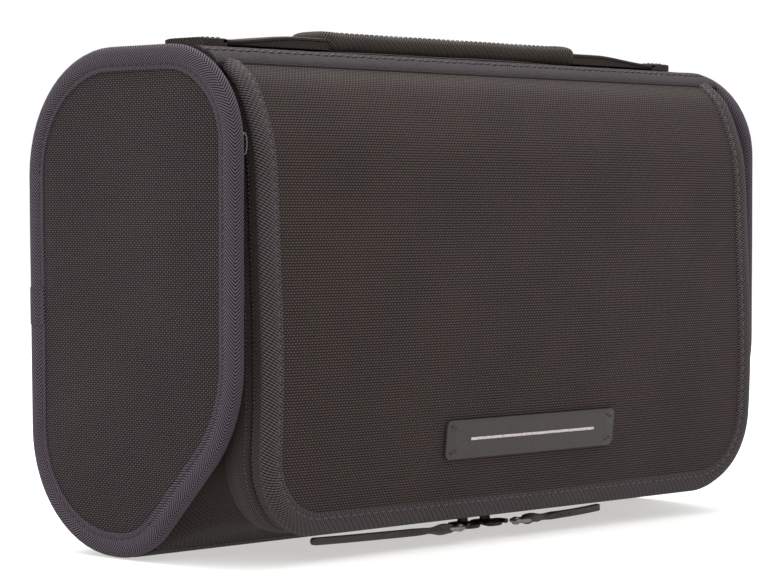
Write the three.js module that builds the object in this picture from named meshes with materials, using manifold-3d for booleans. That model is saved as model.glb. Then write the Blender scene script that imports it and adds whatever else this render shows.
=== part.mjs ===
// Hanging toiletry bag: a soft main compartment (the pod) between two bound end panels, closed by a
// front door that is hinged along its top edge and zipped round its other three sides.
// Millimetres, +Z up. Every outline is drawn with x across the bag, y back from the door's front
// plane and z up from the floor; the bag is then centred over the origin.

import * as THREE from 'three';
import { mergeVertices } from 'three/addons/utils/BufferGeometryUtils.js';
import Module from 'manifold-3d';

const wasm = await Module();
wasm.setup();

// ---------------------------------------------------------------- driving dimensions

const WIDTH = 292; // across the outer faces of the end bindings
const DEPTH = 114; // door's front plane to the back of the end bindings
const HEIGHT = 178; // floor to the top of the end bindings
const GAP = 0.3; // clearance between neighbouring pieces

const BINDING_WIDTH = 8.6; // visible width of every binding tape
const END_BINDING_THICKNESS = 5.5;
const END_PANEL_THICKNESS = 3.4;
const INNER_HALF = WIDTH / 2 - END_BINDING_THICKNESS - GAP; // half width between the end bindings

// end panel outline, seen from +X: [y, z, corner radius]
const END_CORNERS = [
  [114, 178, 44],
  [5, 178, 35],
  [5, 48.5, 53],
  [51.6, 0, 33],
  [111.6, 0, 44],
];
// the wrap between the ends sits on a wider flat than the end panels do
const WRAP_INSET = 1.2;
const WRAP_THICKNESS = 2.6;
const BASE_RADIUS = 36;
const BASE_FRONT_RADIUS = 8;
const BASE_FRONT_Y = 52;
const BASE_TOP_Z = 45;
const TOP_BACK_SEAM_Z = 150;

// door front, side profile from the hinge at the top down to the free edge: [y, z]
const HINGE_Y = 21.4;
const HINGE_Z = 172.2;
const DOOR_PROFILE = [
  [HINGE_Y, HINGE_Z],
  [13, 165],
  [7, 153],
  [3.2, 139],
  [1.6, 112],
  [0, 75],
  [0.4, 46],
  [2.6, 22],
  [6, 9],
];
const PROFILE_STEPS = 18;
const CURVE_START_Z = 90;
const CURVE_END_Z = 145;
const DOOR_HALF = 137;
const DOOR_BOTTOM_Z = 9;
const DOOR_RADIUS = 30;

// depth bands behind the door's front surface: [front, back]
const BINDING_BAND = [-0.4, 2.8];
const PANEL_BAND = [0, 3.2];
const DOOR_LINING_BAND = [3.6, 4.6];
const DOOR_TAPE_BAND = [3.1, 7.4];
const DOOR_COIL_BAND = [7.7, 9.2];
const POD_COIL_BAND = [9.5, 11];
const POD_TAPE_BAND = [11.3, 20];
// the zip wall's place inside the door's outline: [outer, inner] inset
const TAPE_INSET = [1.6, 2.8];
const COIL_INSET = [1.2, 3.2];

// handle
const HANDLE_Y = 47;
const HANDLE_BOTTOM_Z = 177.3;
const STRAP_WIDTH = 20;
const STRAP_THICKNESS = 3.2;
const STRAP_END_X = 129;
const STRAP_JOIN_X = 119;
const GRIP_HALF = 71;
const GRIP_WIDTH = 22;
const GRIP_HEIGHT = 8.6;

// badge
const BADGE_LENGTH = 92;
const BADGE_HEIGHT = 14;
const BADGE_Z = 40;
const BADGE_THICKNESS = 1.4;
const BADGE_LINE_LENGTH = 70;

// zip sliders and pulls on the straight bottom run; offsets are from where the sliders meet
const ZIP_MEET_X = -14.5;
const SLIDER_LENGTH = 11;
const SLIDER_OFFSET = 6.2;
const SLIDER_Y = [11.5, 19.5];
const SLIDER_Z = [4.8, 9.8];
const PIVOT_OFFSET = 15.7;
const PULL_Y = 8.6;
const PULL_Z = [3.4, 7.4];
const PULL_WIDTH = 5;
const PULL_LENGTHS = { left: 70, right: 42 }; // the right strip is drawn up in a loop
const PULL_START_OFFSET = PIVOT_OFFSET + 7.2;
const BAIL_Z = 5.6;
const BAIL_THICKNESS = 1.6;

// hook, stowed flat inside the door near its free edge
const HOOK_Y = 18.6;
const HOOK_FOLD_Z = 24;
const HOOK_CENTRE_Z = 62;
const HOOK_RADIUS = 14;
const HOOK_WIRE = 5;

// ---------------------------------------------------------------- shape helpers

// corners of an outline moved inwards by inset, with their radii reduced to match
function insetCorners(corners, inset) {
  const count = corners.length;
  const lines = corners.map(([y, z], i) => {
    const next = corners[(i + 1) % count];
    const length = Math.hypot(next[0] - y, next[1] - z);
    const along = [(next[0] - y) / length, (next[1] - z) / length];
    const inward = [-along[1], along[0]];
    return { point: [y + inward[0] * inset, z + inward[1] * inset], along };
  });
  return corners.map((corner, i) => {
    const a = lines[(i + count - 1) % count];
    const b = lines[i];
    const cross = a.along[0] * b.along[1] - a.along[1] * b.along[0];
    const dy = b.point[0] - a.point[0];
    const dz = b.point[1] - a.point[1];
    const t = (dy * b.along[1] - dz * b.along[0]) / cross;
    return [a.point[0] + a.along[0] * t, a.point[1] + a.along[1] * t, Math.max(corner[2] - inset, 0.5)];
  });
}

// points of a closed outline whose corners are rounded
function roundedOutline(corners, segments = 9) {
  const points = [];
  corners.forEach(([y, z, radius], i) => {
    const before = corners[(i + corners.length - 1) % corners.length];
    const after = corners[(i + 1) % corners.length];
    const corner = new THREE.Vector2(y, z);
    const toBefore = new THREE.Vector2(before[0], before[1]).sub(corner).normalize();
    const toAfter = new THREE.Vector2(after[0], after[1]).sub(corner).normalize();
    const halfAngle = Math.acos(THREE.MathUtils.clamp(toBefore.dot(toAfter), -1, 1)) / 2;
    const bisector = toBefore.clone().add(toAfter).normalize();
    const centre = corner.clone().addScaledVector(bisector, radius / Math.sin(halfAngle));
    const start = corner.clone().addScaledVector(toBefore, radius / Math.tan(halfAngle)).sub(centre);
    const end = corner.clone().addScaledVector(toAfter, radius / Math.tan(halfAngle)).sub(centre);
    const turn = Math.atan2(start.cross(end), start.dot(end));
    for (let step = 0; step <= segments; step += 1) {
      const spoke = start.clone().rotateAround(new THREE.Vector2(), (turn * step) / segments);
      points.push(centre.clone().add(spoke));
    }
  });
  return points;
}

function shapeFrom(outline, hole) {
  const shape = new THREE.Shape(outline);
  if (hole) {
    shape.holes.push(new THREE.Path(hole));
  }
  return shape;
}

function extrude(shape, depth, bevel, segments) {
  return new THREE.ExtrudeGeometry(shape, {
    depth: depth - 2 * bevel,
    bevelEnabled: bevel > 0,
    bevelThickness: bevel,
    bevelSize: bevel,
    bevelOffset: -bevel,
    bevelSegments: segments,
    curveSegments: 6,
  });
}

// a (y, z) shape extruded from x0 to x1
function alongX(shape, x0, x1, bevel = 0, segments = 1) {
  const geometry = extrude(shape, x1 - x0, bevel, segments);
  geometry.translate(0, 0, x0 + bevel);
  const turn = new THREE.Matrix4().makeBasis(
    new THREE.Vector3(0, 1, 0),
    new THREE.Vector3(0, 0, 1),
    new THREE.Vector3(1, 0, 0),
  );
  return geometry.applyMatrix4(turn);
}

// an (x, z) shape extruded from y0 to y1
function alongY(shape, y0, y1, bevel = 0, segments = 1) {
  const geometry = extrude(shape, y1 - y0, bevel, segments);
  geometry.translate(0, 0, -y1 + bevel);
  return geometry.rotateX(Math.PI / 2);
}

// an (x, y) shape extruded from z0 to z1
function alongZ(shape, z0, z1, bevel = 0, segments = 1) {
  return extrude(shape, z1 - z0, bevel, segments).translate(0, 0, z0 + bevel);
}

function box(x0, x1, y0, y1, z0, z1) {
  const geometry = new THREE.BoxGeometry(x1 - x0, y1 - y0, z1 - z0);
  return geometry.translate((x0 + x1) / 2, (y0 + y1) / 2, (z0 + z1) / 2);
}

// corners of a rectangle that share one radius, anticlockwise
function rectangle(u0, u1, v0, v1, radius) {
  return [
    [u0, v0, radius],
    [u1, v0, radius],
    [u1, v1, radius],
    [u0, v1, radius],
  ];
}

// ---------------------------------------------------------------- boolean helpers

function solid(geometry) {
  const bare = geometry.clone();
  bare.deleteAttribute('normal');
  bare.deleteAttribute('uv');
  const merged = mergeVertices(bare, 1e-4);
  return new wasm.Manifold(new wasm.Mesh({
    numProp: 3,
    vertProperties: new Float32Array(merged.attributes.position.array),
    triVerts: new Uint32Array(merged.index.array),
  }));
}

function meshOf(manifold) {
  const result = manifold.getMesh();
  const geometry = new THREE.BufferGeometry();
  geometry.setAttribute('position', new THREE.BufferAttribute(result.vertProperties, 3));
  geometry.setIndex(new THREE.BufferAttribute(result.triVerts, 1));
  return geometry;
}

const common = (first, second) => meshOf(solid(first).intersect(solid(second)));
const cut = (first, second) => meshOf(solid(first).subtract(solid(second)));
const join = (first, second) => meshOf(solid(first).add(solid(second)));

// ---------------------------------------------------------------- the model's tree

const bag = new THREE.Group();

const LOOKS = {
  ballistic: { color: 0x3b3533, roughness: 0.85, metalness: 0 },
  binding: { color: 0x443d48, roughness: 0.8, metalness: 0 },
  webbing: { color: 0x3a3534, roughness: 0.8, metalness: 0 },
  tape: { color: 0x2a2423, roughness: 0.85, metalness: 0 },
  coil: { color: 0x1c1818, roughness: 0.5, metalness: 0 },
  leather: { color: 0x45443f, roughness: 0.55, metalness: 0 },
  inlay: { color: 0xc9c2c2, roughness: 0.4, metalness: 0.2 },
  metal: { color: 0x8c8c8e, roughness: 0.35, metalness: 0.9 },
  lining: { color: 0x5a5a5e, roughness: 0.75, metalness: 0 },
  mesh: { color: 0x26262a, roughness: 0.8, metalness: 0 },
  board: { color: 0x1f1f20, roughness: 0.7, metalness: 0 },
  plastic: { color: 0x202022, roughness: 0.4, metalness: 0 },
};

function add(name, look, geometry) {
  const mesh = new THREE.Mesh(geometry, new THREE.MeshStandardMaterial(LOOKS[look]));
  mesh.name = name;
  bag.add(mesh);
  return mesh;
}

const SIDES = [['left', -1], ['right', 1]];

// x range on one side of the bag, given from the middle outwards
const sideSpan = (side, inner, outer) => (side < 0 ? [-outer, -inner] : [inner, outer]);

// ---------------------------------------------------------------- end panels and bindings

const endOutline = (inset) => roundedOutline(insetCorners(END_CORNERS, inset));

for (const [label, side] of SIDES) {
  const [b0, b1] = sideSpan(side, WIDTH / 2 - END_BINDING_THICKNESS, WIDTH / 2);
  const ring = shapeFrom(endOutline(0), endOutline(BINDING_WIDTH));
  add(`end_binding_${label}`, 'binding', alongX(ring, b0, b1, 1.2));
  const middle = WIDTH / 2 - END_BINDING_THICKNESS / 2;
  const half = END_PANEL_THICKNESS / 2;
  const [p0, p1] = sideSpan(side, middle - half, middle + half);
  const plate = shapeFrom(endOutline(BINDING_WIDTH + GAP));
  add(`end_panel_${label}`, 'ballistic', alongX(plate, p0, p1));
}

// ---------------------------------------------------------------- the wrap: top, back and base

const wrapCorners = END_CORNERS.map((corner) => [...corner]);
wrapCorners[3][2] = BASE_FRONT_RADIUS;
wrapCorners[4][2] = BASE_RADIUS;

function wrapRing(outer, inner, half) {
  // the outer outline touches the floor; its other sides are inset from the end panels
  const outlineAt = (inset) => insetCorners(wrapCorners, inset).map(([y, z, r], i) => (
    [y, i > 2 ? z - WRAP_INSET : z, r]
  ));
  const ring = shapeFrom(roundedOutline(outlineAt(outer)), roundedOutline(outlineAt(inner)));
  return alongX(ring, -half, half);
}

const REAR = DEPTH + 10; // beyond the back of the wrap
const OVER = HEIGHT + 10; // above the top of the wrap
const BELOW = -10; // under the base of the wrap
const BACK_HALF_Y = 60; // well inside the bag, in front of the back panel
const STRIP_BACK_Y = 33;
const wrap = wrapRing(WRAP_INSET, WRAP_INSET + WRAP_THICKNESS, INNER_HALF);
const across = [-WIDTH / 2, WIDTH / 2];

add('top_panel', 'ballistic', common(
  wrap,
  box(...across, STRIP_BACK_Y + 2 * GAP, REAR, TOP_BACK_SEAM_Z, OVER),
));
add('back_panel', 'ballistic', common(
  wrap,
  box(...across, BACK_HALF_Y, REAR, BASE_TOP_Z, TOP_BACK_SEAM_Z - GAP),
));
add('base_panel', 'ballistic', common(
  wrap,
  box(...across, BASE_FRONT_Y, REAR, BELOW, BASE_TOP_Z - GAP),
));

// thin lining inside the wrap
const LINING_THICKNESS = 1;
const BOARD_SPACE = 2.2; // room for the boards between the wrap and its lining
const LINING_EDGE = 4; // the lining stops short of the wrap's front edges
const liningOuter = WRAP_INSET + WRAP_THICKNESS + GAP + BOARD_SPACE;
const lining = wrapRing(liningOuter, liningOuter + LINING_THICKNESS, INNER_HALF - GAP);
const liningBack = box(...across, BASE_FRONT_Y + LINING_EDGE, REAR, BELOW, OVER);
const liningTop = box(...across, STRIP_BACK_Y + LINING_EDGE, REAR, TOP_BACK_SEAM_Z, OVER);
add('lining', 'lining', meshOf(solid(lining).intersect(solid(liningBack).add(solid(liningTop)))));

// flat boards that keep the back and the base flat
const BOARD_HALF = 132;
const BOARD_THICKNESS = 1.4;
const BACK_BOARD_HALF_HEIGHT = 44;
const BACK_BOARD_Z = 92;
const BACK_BOARD_CLEARANCE = 2.35; // from the panel's inner face to the middle of the board
const BASE_BOARD_Y = [57, 74];
const BASE_BOARD_LIFT = GAP + 0.1;
const backInside = DEPTH - WRAP_INSET - WRAP_THICKNESS;
const boardTilt = Math.atan2(END_CORNERS[0][0] - END_CORNERS[4][0], HEIGHT);
const backBoard = add('back_board', 'board', alongY(
  shapeFrom(roundedOutline(rectangle(
    -BOARD_HALF,
    BOARD_HALF,
    -BACK_BOARD_HALF_HEIGHT,
    BACK_BOARD_HALF_HEIGHT,
    6,
  ), 3)),
  -BOARD_THICKNESS / 2,
  BOARD_THICKNESS / 2,
));
backBoard.position.set(0, backInside - BACK_BOARD_CLEARANCE, BACK_BOARD_Z);
backBoard.rotation.x = -boardTilt;
add('base_board', 'board', alongZ(
  shapeFrom(roundedOutline(rectangle(-BOARD_HALF, BOARD_HALF, ...BASE_BOARD_Y, 3), 3)),
  WRAP_THICKNESS + BASE_BOARD_LIFT,
  WRAP_THICKNESS + BASE_BOARD_LIFT + BOARD_THICKNESS,
));

// ---------------------------------------------------------------- door surface and outline

const profile = new THREE.SplineCurve(DOOR_PROFILE.map(([y, z]) => new THREE.Vector2(y, z)));

// the side profile moved back from the door's front surface by depth: straight back on the flat
// lower part, square to the surface where it curves over to the hinge
function profileAt(depth) {
  const straightBack = new THREE.Vector2(1, 0);
  return Array.from({ length: PROFILE_STEPS + 1 }, (_, step) => {
    const point = profile.getPoint(step / PROFILE_STEPS);
    const tangent = profile.getTangent(step / PROFILE_STEPS);
    const curved = THREE.MathUtils.smoothstep(point.y, CURVE_START_Z, CURVE_END_Z);
    const inward = straightBack.clone().lerp(new THREE.Vector2(-tangent.y, tangent.x), curved);
    return point.addScaledVector(inward.normalize(), depth);
  });
}

// distance back from the front plane, at a height, to the surface at a depth behind the door's front
function doorY(z, depth = 0) {
  const points = profileAt(depth);
  const below = points.findIndex((point) => point.y <= z);
  if (below < 1) {
    return points[below === 0 ? 0 : points.length - 1].x;
  }
  const [a, b] = [points[below - 1], points[below]];
  return THREE.MathUtils.mapLinear(z, a.y, b.y, a.x, b.x);
}

function bandPrism([front, back], half = DOOR_HALF + 5) {
  const outline = [...profileAt(front), ...profileAt(back).reverse()];
  return alongX(shapeFrom(outline), -half, half);
}

const DOOR_TOP = OVER; // the outline runs past the hinge, where the band ends it
const doorOutline = (inset) => roundedOutline([
  [-DOOR_HALF + inset, DOOR_BOTTOM_Z + inset, DOOR_RADIUS - inset],
  [DOOR_HALF - inset, DOOR_BOTTOM_Z + inset, DOOR_RADIUS - inset],
  [DOOR_HALF - inset, DOOR_TOP, 0.5],
  [-DOOR_HALF + inset, DOOR_TOP, 0.5],
], 8);

// U-shaped strip between two insets of the outline, open at the top
function doorRing(band, outer, inner) {
  const sheet = solid(alongY(shapeFrom(doorOutline(outer)), -30, 60));
  const hole = solid(alongY(shapeFrom(doorOutline(inner).map((p) => (
    p.y > DOOR_TOP - 1 ? new THREE.Vector2(p.x, DOOR_TOP + 5) : p
  ))), -40, 70));
  return meshOf(sheet.subtract(hole).intersect(solid(bandPrism(band))));
}

function doorSheet(band, inset) {
  return common(alongY(shapeFrom(doorOutline(inset)), -30, 60), bandPrism(band));
}

add('door_front_panel', 'ballistic', doorSheet(PANEL_BAND, BINDING_WIDTH + GAP));
add('door_binding', 'binding', doorRing(BINDING_BAND, 0, BINDING_WIDTH));
add('door_lining', 'lining', doorSheet(DOOR_LINING_BAND, BINDING_WIDTH));
add('door_zip_tape', 'tape', doorRing(DOOR_TAPE_BAND, ...TAPE_INSET));
add('door_zip_coil', 'coil', doorRing(DOOR_COIL_BAND, ...COIL_INSET));
add('pod_zip_coil', 'coil', doorRing(POD_COIL_BAND, ...COIL_INSET));
add('pod_zip_tape', 'tape', doorRing(POD_TAPE_BAND, ...TAPE_INSET));

// ---------------------------------------------------------------- hinge strip

const STRIP_INSET = 0.4;
const STRIP_THICKNESS = 2.2;
const STRIP_FRONT_GAP = 1.5; // lets the door's binding swing up past the strip
const stripCentre = [END_CORNERS[1][0] + END_CORNERS[1][2], HEIGHT - END_CORNERS[1][2]];
const stripRadius = END_CORNERS[1][2] - STRIP_INSET;
const hingeAngle = Math.atan2(HINGE_Z - stripCentre[1], HINGE_Y - stripCentre[0]);
const stripStart = hingeAngle - STRIP_FRONT_GAP / stripRadius;
const stripEnd = Math.acos((STRIP_BACK_Y - GAP - stripCentre[0]) / stripRadius);
const STRIP_STEPS = 6;

function stripArc(radius) {
  return Array.from({ length: STRIP_STEPS + 1 }, (_, step) => {
    const angle = THREE.MathUtils.lerp(stripStart, stripEnd, step / STRIP_STEPS);
    return new THREE.Vector2(
      stripCentre[0] + radius * Math.cos(angle),
      stripCentre[1] + radius * Math.sin(angle),
    );
  });
}

add('hinge_strip', 'binding', alongX(
  shapeFrom([...stripArc(stripRadius), ...stripArc(stripRadius - STRIP_THICKNESS).reverse()]),
  -INNER_HALF,
  INNER_HALF,
));

// ---------------------------------------------------------------- pod gusset

// a closed sheet of the given thickness whose outer face passes through a grid of points, kept
// between the end bindings
function thickSheet(grid, thickness) {
  const rows = grid.length;
  const columns = grid[0].length;
  const clampRow = (i) => grid[THREE.MathUtils.clamp(i, 0, rows - 1)];
  const pointAt = (i, j) => clampRow(i)[THREE.MathUtils.clamp(j, 0, columns - 1)];
  const inner = grid.map((row, i) => row.map((point, j) => {
    const down = pointAt(i + 1, j).clone().sub(pointAt(i - 1, j));
    const over = pointAt(i, j + 1).clone().sub(pointAt(i, j - 1));
    const moved = point.clone().addScaledVector(down.cross(over).normalize(), thickness);
    return moved.setX(THREE.MathUtils.clamp(moved.x, -INNER_HALF, INNER_HALF));
  }));
  const positions = [...grid.flat(), ...inner.flat()].flatMap((point) => point.toArray());
  const index = [];
  const back = rows * columns;
  const quad = (a, b, c, d) => index.push(a, b, c, a, c, d);
  for (let i = 0; i < rows - 1; i += 1) {
    for (let j = 0; j < columns - 1; j += 1) {
      const a = i * columns + j;
      quad(a, a + 1, a + columns + 1, a + columns);
      quad(back + a, back + a + columns, back + a + columns + 1, back + a + 1);
    }
  }
  for (let i = 0; i < rows - 1; i += 1) {
    const first = i * columns;
    const last = first + columns - 1;
    quad(first, first + columns, back + first + columns, back + first);
    quad(last, back + last, back + last + columns, last + columns);
  }
  for (let j = 0; j < columns - 1; j += 1) {
    const last = (rows - 1) * columns + j;
    quad(j, back + j, back + j + 1, j + 1);
    quad(last, last + 1, back + last + 1, back + last);
  }
  const geometry = new THREE.BufferGeometry();
  geometry.setAttribute('position', new THREE.Float32BufferAttribute(positions, 3));
  geometry.setIndex(index);
  return geometry;
}

const GUSSET_TOP_Z = 158;
const GUSSET_SIDE_Y = 27; // where it meets the end panels above their slope
const GUSSET_THICKNESS = 1.6;
const gussetInset = TAPE_INSET[0];
const gussetHalf = DOOR_HALF - gussetInset;
const gussetBottom = DOOR_BOTTOM_Z + gussetInset;
const gussetRadius = DOOR_RADIUS - gussetInset;
const gussetFrontDepth = POD_TAPE_BAND[1] + 3 * GAP;
const gussetBackY = BASE_FRONT_Y - 5 * GAP;
const SLOPE_TOP_Z = 50; // height at which the end panels' slope begins to show
const CORNER_STEPS = 10;

// pairs of points, at the zip tape and at the end panel or base, from the top of one side down to
// the middle of the bottom; side is -1 or 1
function gussetHalfRun(side) {
  const pairs = [];
  const front = (x, z) => new THREE.Vector3(x, doorY(z, gussetFrontDepth), z);
  for (const z of [GUSSET_TOP_Z, 128, 98, 70, SLOPE_TOP_Z]) {
    pairs.push([
      front(side * gussetHalf, z),
      new THREE.Vector3(side * INNER_HALF, GUSSET_SIDE_Y, z),
    ]);
  }
  const centreX = gussetHalf - gussetRadius;
  const centreZ = gussetBottom + gussetRadius;
  for (let step = 0; step <= CORNER_STEPS; step += 1) {
    const share = step / CORNER_STEPS;
    const angle = (share * Math.PI) / 2;
    const x = centreX + gussetRadius * Math.cos(angle);
    const z = centreZ - gussetRadius * Math.sin(angle);
    // the first stretch of the back edge runs down the end panel's slope, the rest along the base
    const down = Math.min(share / 0.6, 1);
    const inwards = Math.max((share - 0.6) / 0.4, 0);
    pairs.push([
      front(side * x, z),
      new THREE.Vector3(
        side * THREE.MathUtils.lerp(INNER_HALF, centreX + 8, inwards),
        THREE.MathUtils.lerp(GUSSET_SIDE_Y, gussetBackY, down),
        THREE.MathUtils.lerp(centreZ, 0.2, down),
      ),
    ]);
  }
  pairs.push([
    front(side * centreX * 0.5, gussetBottom),
    new THREE.Vector3(side * centreX * 0.5, gussetBackY, 0.2),
  ]);
  return pairs;
}

const gussetRun = [...gussetHalfRun(-1), ...gussetHalfRun(1).reverse()];
const gussetGrid = gussetRun.map(([front, back]) => (
  [0, 0.33, 0.67, 1].map((v) => front.clone().lerp(back, v))
));
add('pod_gusset', 'ballistic', thickSheet(gussetGrid, GUSSET_THICKNESS));

// ---------------------------------------------------------------- handle

const handleY = [HANDLE_Y - STRAP_WIDTH / 2, HANDLE_Y + STRAP_WIDTH / 2];
const strapTopZ = HANDLE_BOTTOM_Z + STRAP_THICKNESS;
const STRAP_END_SINK = 0.2; // how far the sewn end is pressed down

// a length of webbing lying on the top
function webbing(span, z0, z1) {
  return alongZ(shapeFrom(roundedOutline(rectangle(...span, ...handleY, 1), 1)), z0, z1, 0.6);
}

for (const [label, side] of SIDES) {
  const strap = sideSpan(side, GRIP_HALF + GAP, STRAP_JOIN_X);
  const end = sideSpan(side, STRAP_JOIN_X + GAP, STRAP_END_X);
  add(`handle_strap_${label}`, 'webbing', webbing(strap, HANDLE_BOTTOM_Z, strapTopZ));
  add(`strap_end_${label}`, 'webbing', webbing(end, HANDLE_BOTTOM_Z - STRAP_END_SINK, strapTopZ));
}
add('handle_grip', 'webbing', alongX(
  shapeFrom(roundedOutline(rectangle(
    HANDLE_Y - GRIP_WIDTH / 2,
    HANDLE_Y + GRIP_WIDTH / 2,
    HANDLE_BOTTOM_Z,
    HANDLE_BOTTOM_Z + GRIP_HEIGHT,
    4,
  ), 4)),
  -GRIP_HALF,
  GRIP_HALF,
  1.5,
));

// ---------------------------------------------------------------- badge

const badge = new THREE.Group();
const badgeSlope = (doorY(BADGE_Z + 5) - doorY(BADGE_Z - 5)) / 10;
badge.position.set(0, doorY(BADGE_Z) - GAP, BADGE_Z);
badge.rotation.x = -Math.atan(badgeSlope);
bag.add(badge);

function addToBadge(name, look, length, height, radius, front, back) {
  const outline = roundedOutline(rectangle(-length / 2, length / 2, -height / 2, height / 2, radius), 3);
  const mesh = add(name, look, alongY(shapeFrom(outline), front, back));
  badge.add(mesh);
}

addToBadge('badge_patch', 'leather', BADGE_LENGTH, BADGE_HEIGHT, 2, -BADGE_THICKNESS, 0);
const lineBack = -BADGE_THICKNESS - 0.05;
addToBadge('badge_line', 'inlay', BADGE_LINE_LENGTH, 1.3, 0.3, lineBack - 0.25, lineBack);

// ---------------------------------------------------------------- zip sliders, bails and pulls

const LUG_OFFSET = [9.3, 11.9];
const LUG_Z = [5, 7];
const PIN_RADIUS = 1.5;
const RING_OUTER = [4, 3.2]; // half length, half width
const RING_INNER = [2.6, 1.8];
const RING_OFFSET = 2.8; // from the pin to the middle of the ring
const ringOutline = ([u, v], radius) => roundedOutline(rectangle(-u, u, -v, v, radius), 3);

// x range on one side of the sliders' meeting point
const zipSpan = (side, inner, outer) => sideSpan(side, inner, outer).map((x) => ZIP_MEET_X + x);

for (const [label, side] of SIDES) {
  const half = SLIDER_LENGTH / 2;
  const body = alongZ(
    shapeFrom(roundedOutline(rectangle(
      ...zipSpan(side, SLIDER_OFFSET - half, SLIDER_OFFSET + half),
      ...SLIDER_Y,
      2.4,
    ), 3)),
    ...SLIDER_Z,
    0.8,
  );
  const lug = box(...zipSpan(side, ...LUG_OFFSET), PULL_Y - 1.4, SLIDER_Y[0] + 2, ...LUG_Z);
  add(`zip_slider_${label}`, 'metal', join(body, lug));

  // a flat ring pinned to the slider's lug
  const pivotX = ZIP_MEET_X + side * PIVOT_OFFSET;
  const pin = new THREE.CylinderGeometry(PIN_RADIUS, PIN_RADIUS, BAIL_THICKNESS + 1, 12).rotateX(Math.PI / 2);
  pin.translate(pivotX, PULL_Y, BAIL_Z);
  const ring = shapeFrom(ringOutline(RING_OUTER, 1.4), ringOutline(RING_INNER, 0.8));
  const bail = alongZ(ring, BAIL_Z - BAIL_THICKNESS / 2, BAIL_Z + BAIL_THICKNESS / 2);
  bail.translate(pivotX + side * RING_OFFSET, PULL_Y, 0);
  add(`bail_${label}`, 'metal', join(bail, pin));

  const strip = rectangle(
    ...zipSpan(side, PULL_START_OFFSET, PULL_START_OFFSET + PULL_LENGTHS[label]),
    PULL_Y - PULL_WIDTH / 2,
    PULL_Y + PULL_WIDTH / 2,
    1.6,
  );
  add(`pull_${label}`, 'leather', alongZ(shapeFrom(roundedOutline(strip, 3)), ...PULL_Z, 0.6));
}

// ---------------------------------------------------------------- inside: pockets

const POCKET_HALF = 120;
const POCKET_HALF_HEIGHT = 34;
const POCKET_Z = 88;
const POCKET_THICKNESS = 1;
const ELASTIC_Z = 126;
const backPocket = add('back_pocket', 'mesh', alongY(
  shapeFrom(roundedOutline(rectangle(
    -POCKET_HALF,
    POCKET_HALF,
    -POCKET_HALF_HEIGHT,
    POCKET_HALF_HEIGHT,
    5,
  ), 3)),
  -POCKET_THICKNESS / 2,
  POCKET_THICKNESS / 2,
));
const backPocketY = backInside - liningOuter - LINING_THICKNESS - 0.4;
backPocket.position.set(0, backPocketY, POCKET_Z);
backPocket.rotation.x = -boardTilt;
const elastic = add('back_pocket_elastic', 'webbing', alongX(
  shapeFrom(roundedOutline(rectangle(-1.2, 1.2, -3, 3, 1), 2)),
  -POCKET_HALF,
  POCKET_HALF,
));
elastic.position.set(0, backPocketY - 0.2, ELASTIC_Z);

const doorPocket = { bottom: 92, top: 146, half: 112, binding: 6, zip: 5 };
const innerBand = (front, back, z0, z1, half) => common(
  bandPrism([front, back]),
  box(-half, half, -20, 80, z0, z1),
);
add('door_pocket', 'mesh', innerBand(5, 5.8, doorPocket.bottom, doorPocket.top, doorPocket.half));
add('door_pocket_binding', 'binding', innerBand(
  5,
  6.4,
  doorPocket.bottom - doorPocket.binding,
  doorPocket.bottom - GAP,
  doorPocket.half,
));
add('door_pocket_zip', 'tape', innerBand(
  5,
  6.6,
  doorPocket.top + GAP,
  doorPocket.top + doorPocket.zip,
  doorPocket.half,
));
const pocketSlider = add('door_pocket_slider', 'metal', alongY(
  shapeFrom(roundedOutline(rectangle(-5, 5, -3, 3, 1.6), 3)),
  0,
  2.6,
  0.6,
));
const POCKET_ZIP_Z = doorPocket.top + doorPocket.zip / 2;
const POCKET_SLIDER_DEPTH = 8.8;
pocketSlider.position.set(-doorPocket.half + 8, doorY(POCKET_ZIP_Z) + POCKET_SLIDER_DEPTH, POCKET_ZIP_Z);
pocketSlider.rotation.x = 0.3;

// ---------------------------------------------------------------- inside: hook

const HOOK_BASE_HALF = 9;
const HOOK_BASE_Z = [HOOK_FOLD_Z - 4, HOOK_FOLD_Z + 5];
const HOOK_BASE_THICKNESS = 5.6;
const HOOK_TAB_HALF = 11;
const HOOK_TAB_Y = [HOOK_Y - 5.4, HOOK_Y + 0.2];
const HOOK_TAB_Z = [13.4, 18.4];
const CHANNEL_HALF = HOOK_WIRE / 2 + 1.1;
const CHANNEL_FRONT = HOOK_Y - HOOK_WIRE / 2 - 0.5;
const hookBaseFront = HOOK_Y - HOOK_BASE_THICKNESS / 2;

// the tab has a channel, so that the hook's shank can fold down past it
add('hook_tab', 'webbing', cut(
  box(-HOOK_TAB_HALF, HOOK_TAB_HALF, ...HOOK_TAB_Y, ...HOOK_TAB_Z),
  box(-CHANNEL_HALF, CHANNEL_HALF, CHANNEL_FRONT, HOOK_Y + HOOK_WIRE, 0, HOOK_FOLD_Z),
));
add('hook_base', 'plastic', alongY(
  shapeFrom(roundedOutline(rectangle(-HOOK_BASE_HALF, HOOK_BASE_HALF, ...HOOK_BASE_Z, 2.5), 3)),
  hookBaseFront,
  hookBaseFront + HOOK_BASE_THICKNESS,
  0.8,
));

// straight shank, then three quarters of a turn round the middle of the hook
const HOOK_ARC_START = THREE.MathUtils.degToRad(232);
const HOOK_ARC_END = THREE.MathUtils.degToRad(-25);
const HOOK_ARC_STEPS = 9;
const SHANK_Z = [HOOK_BASE_Z[1] + GAP, HOOK_FOLD_Z + 16];
const hookPoints = SHANK_Z.map((z) => new THREE.Vector3(0, HOOK_Y, z));
for (let step = 0; step <= HOOK_ARC_STEPS; step += 1) {
  const angle = THREE.MathUtils.lerp(HOOK_ARC_START, HOOK_ARC_END, step / HOOK_ARC_STEPS);
  hookPoints.push(new THREE.Vector3(
    HOOK_RADIUS * Math.cos(angle),
    HOOK_Y,
    HOOK_CENTRE_Z + HOOK_RADIUS * Math.sin(angle),
  ));
}

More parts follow.
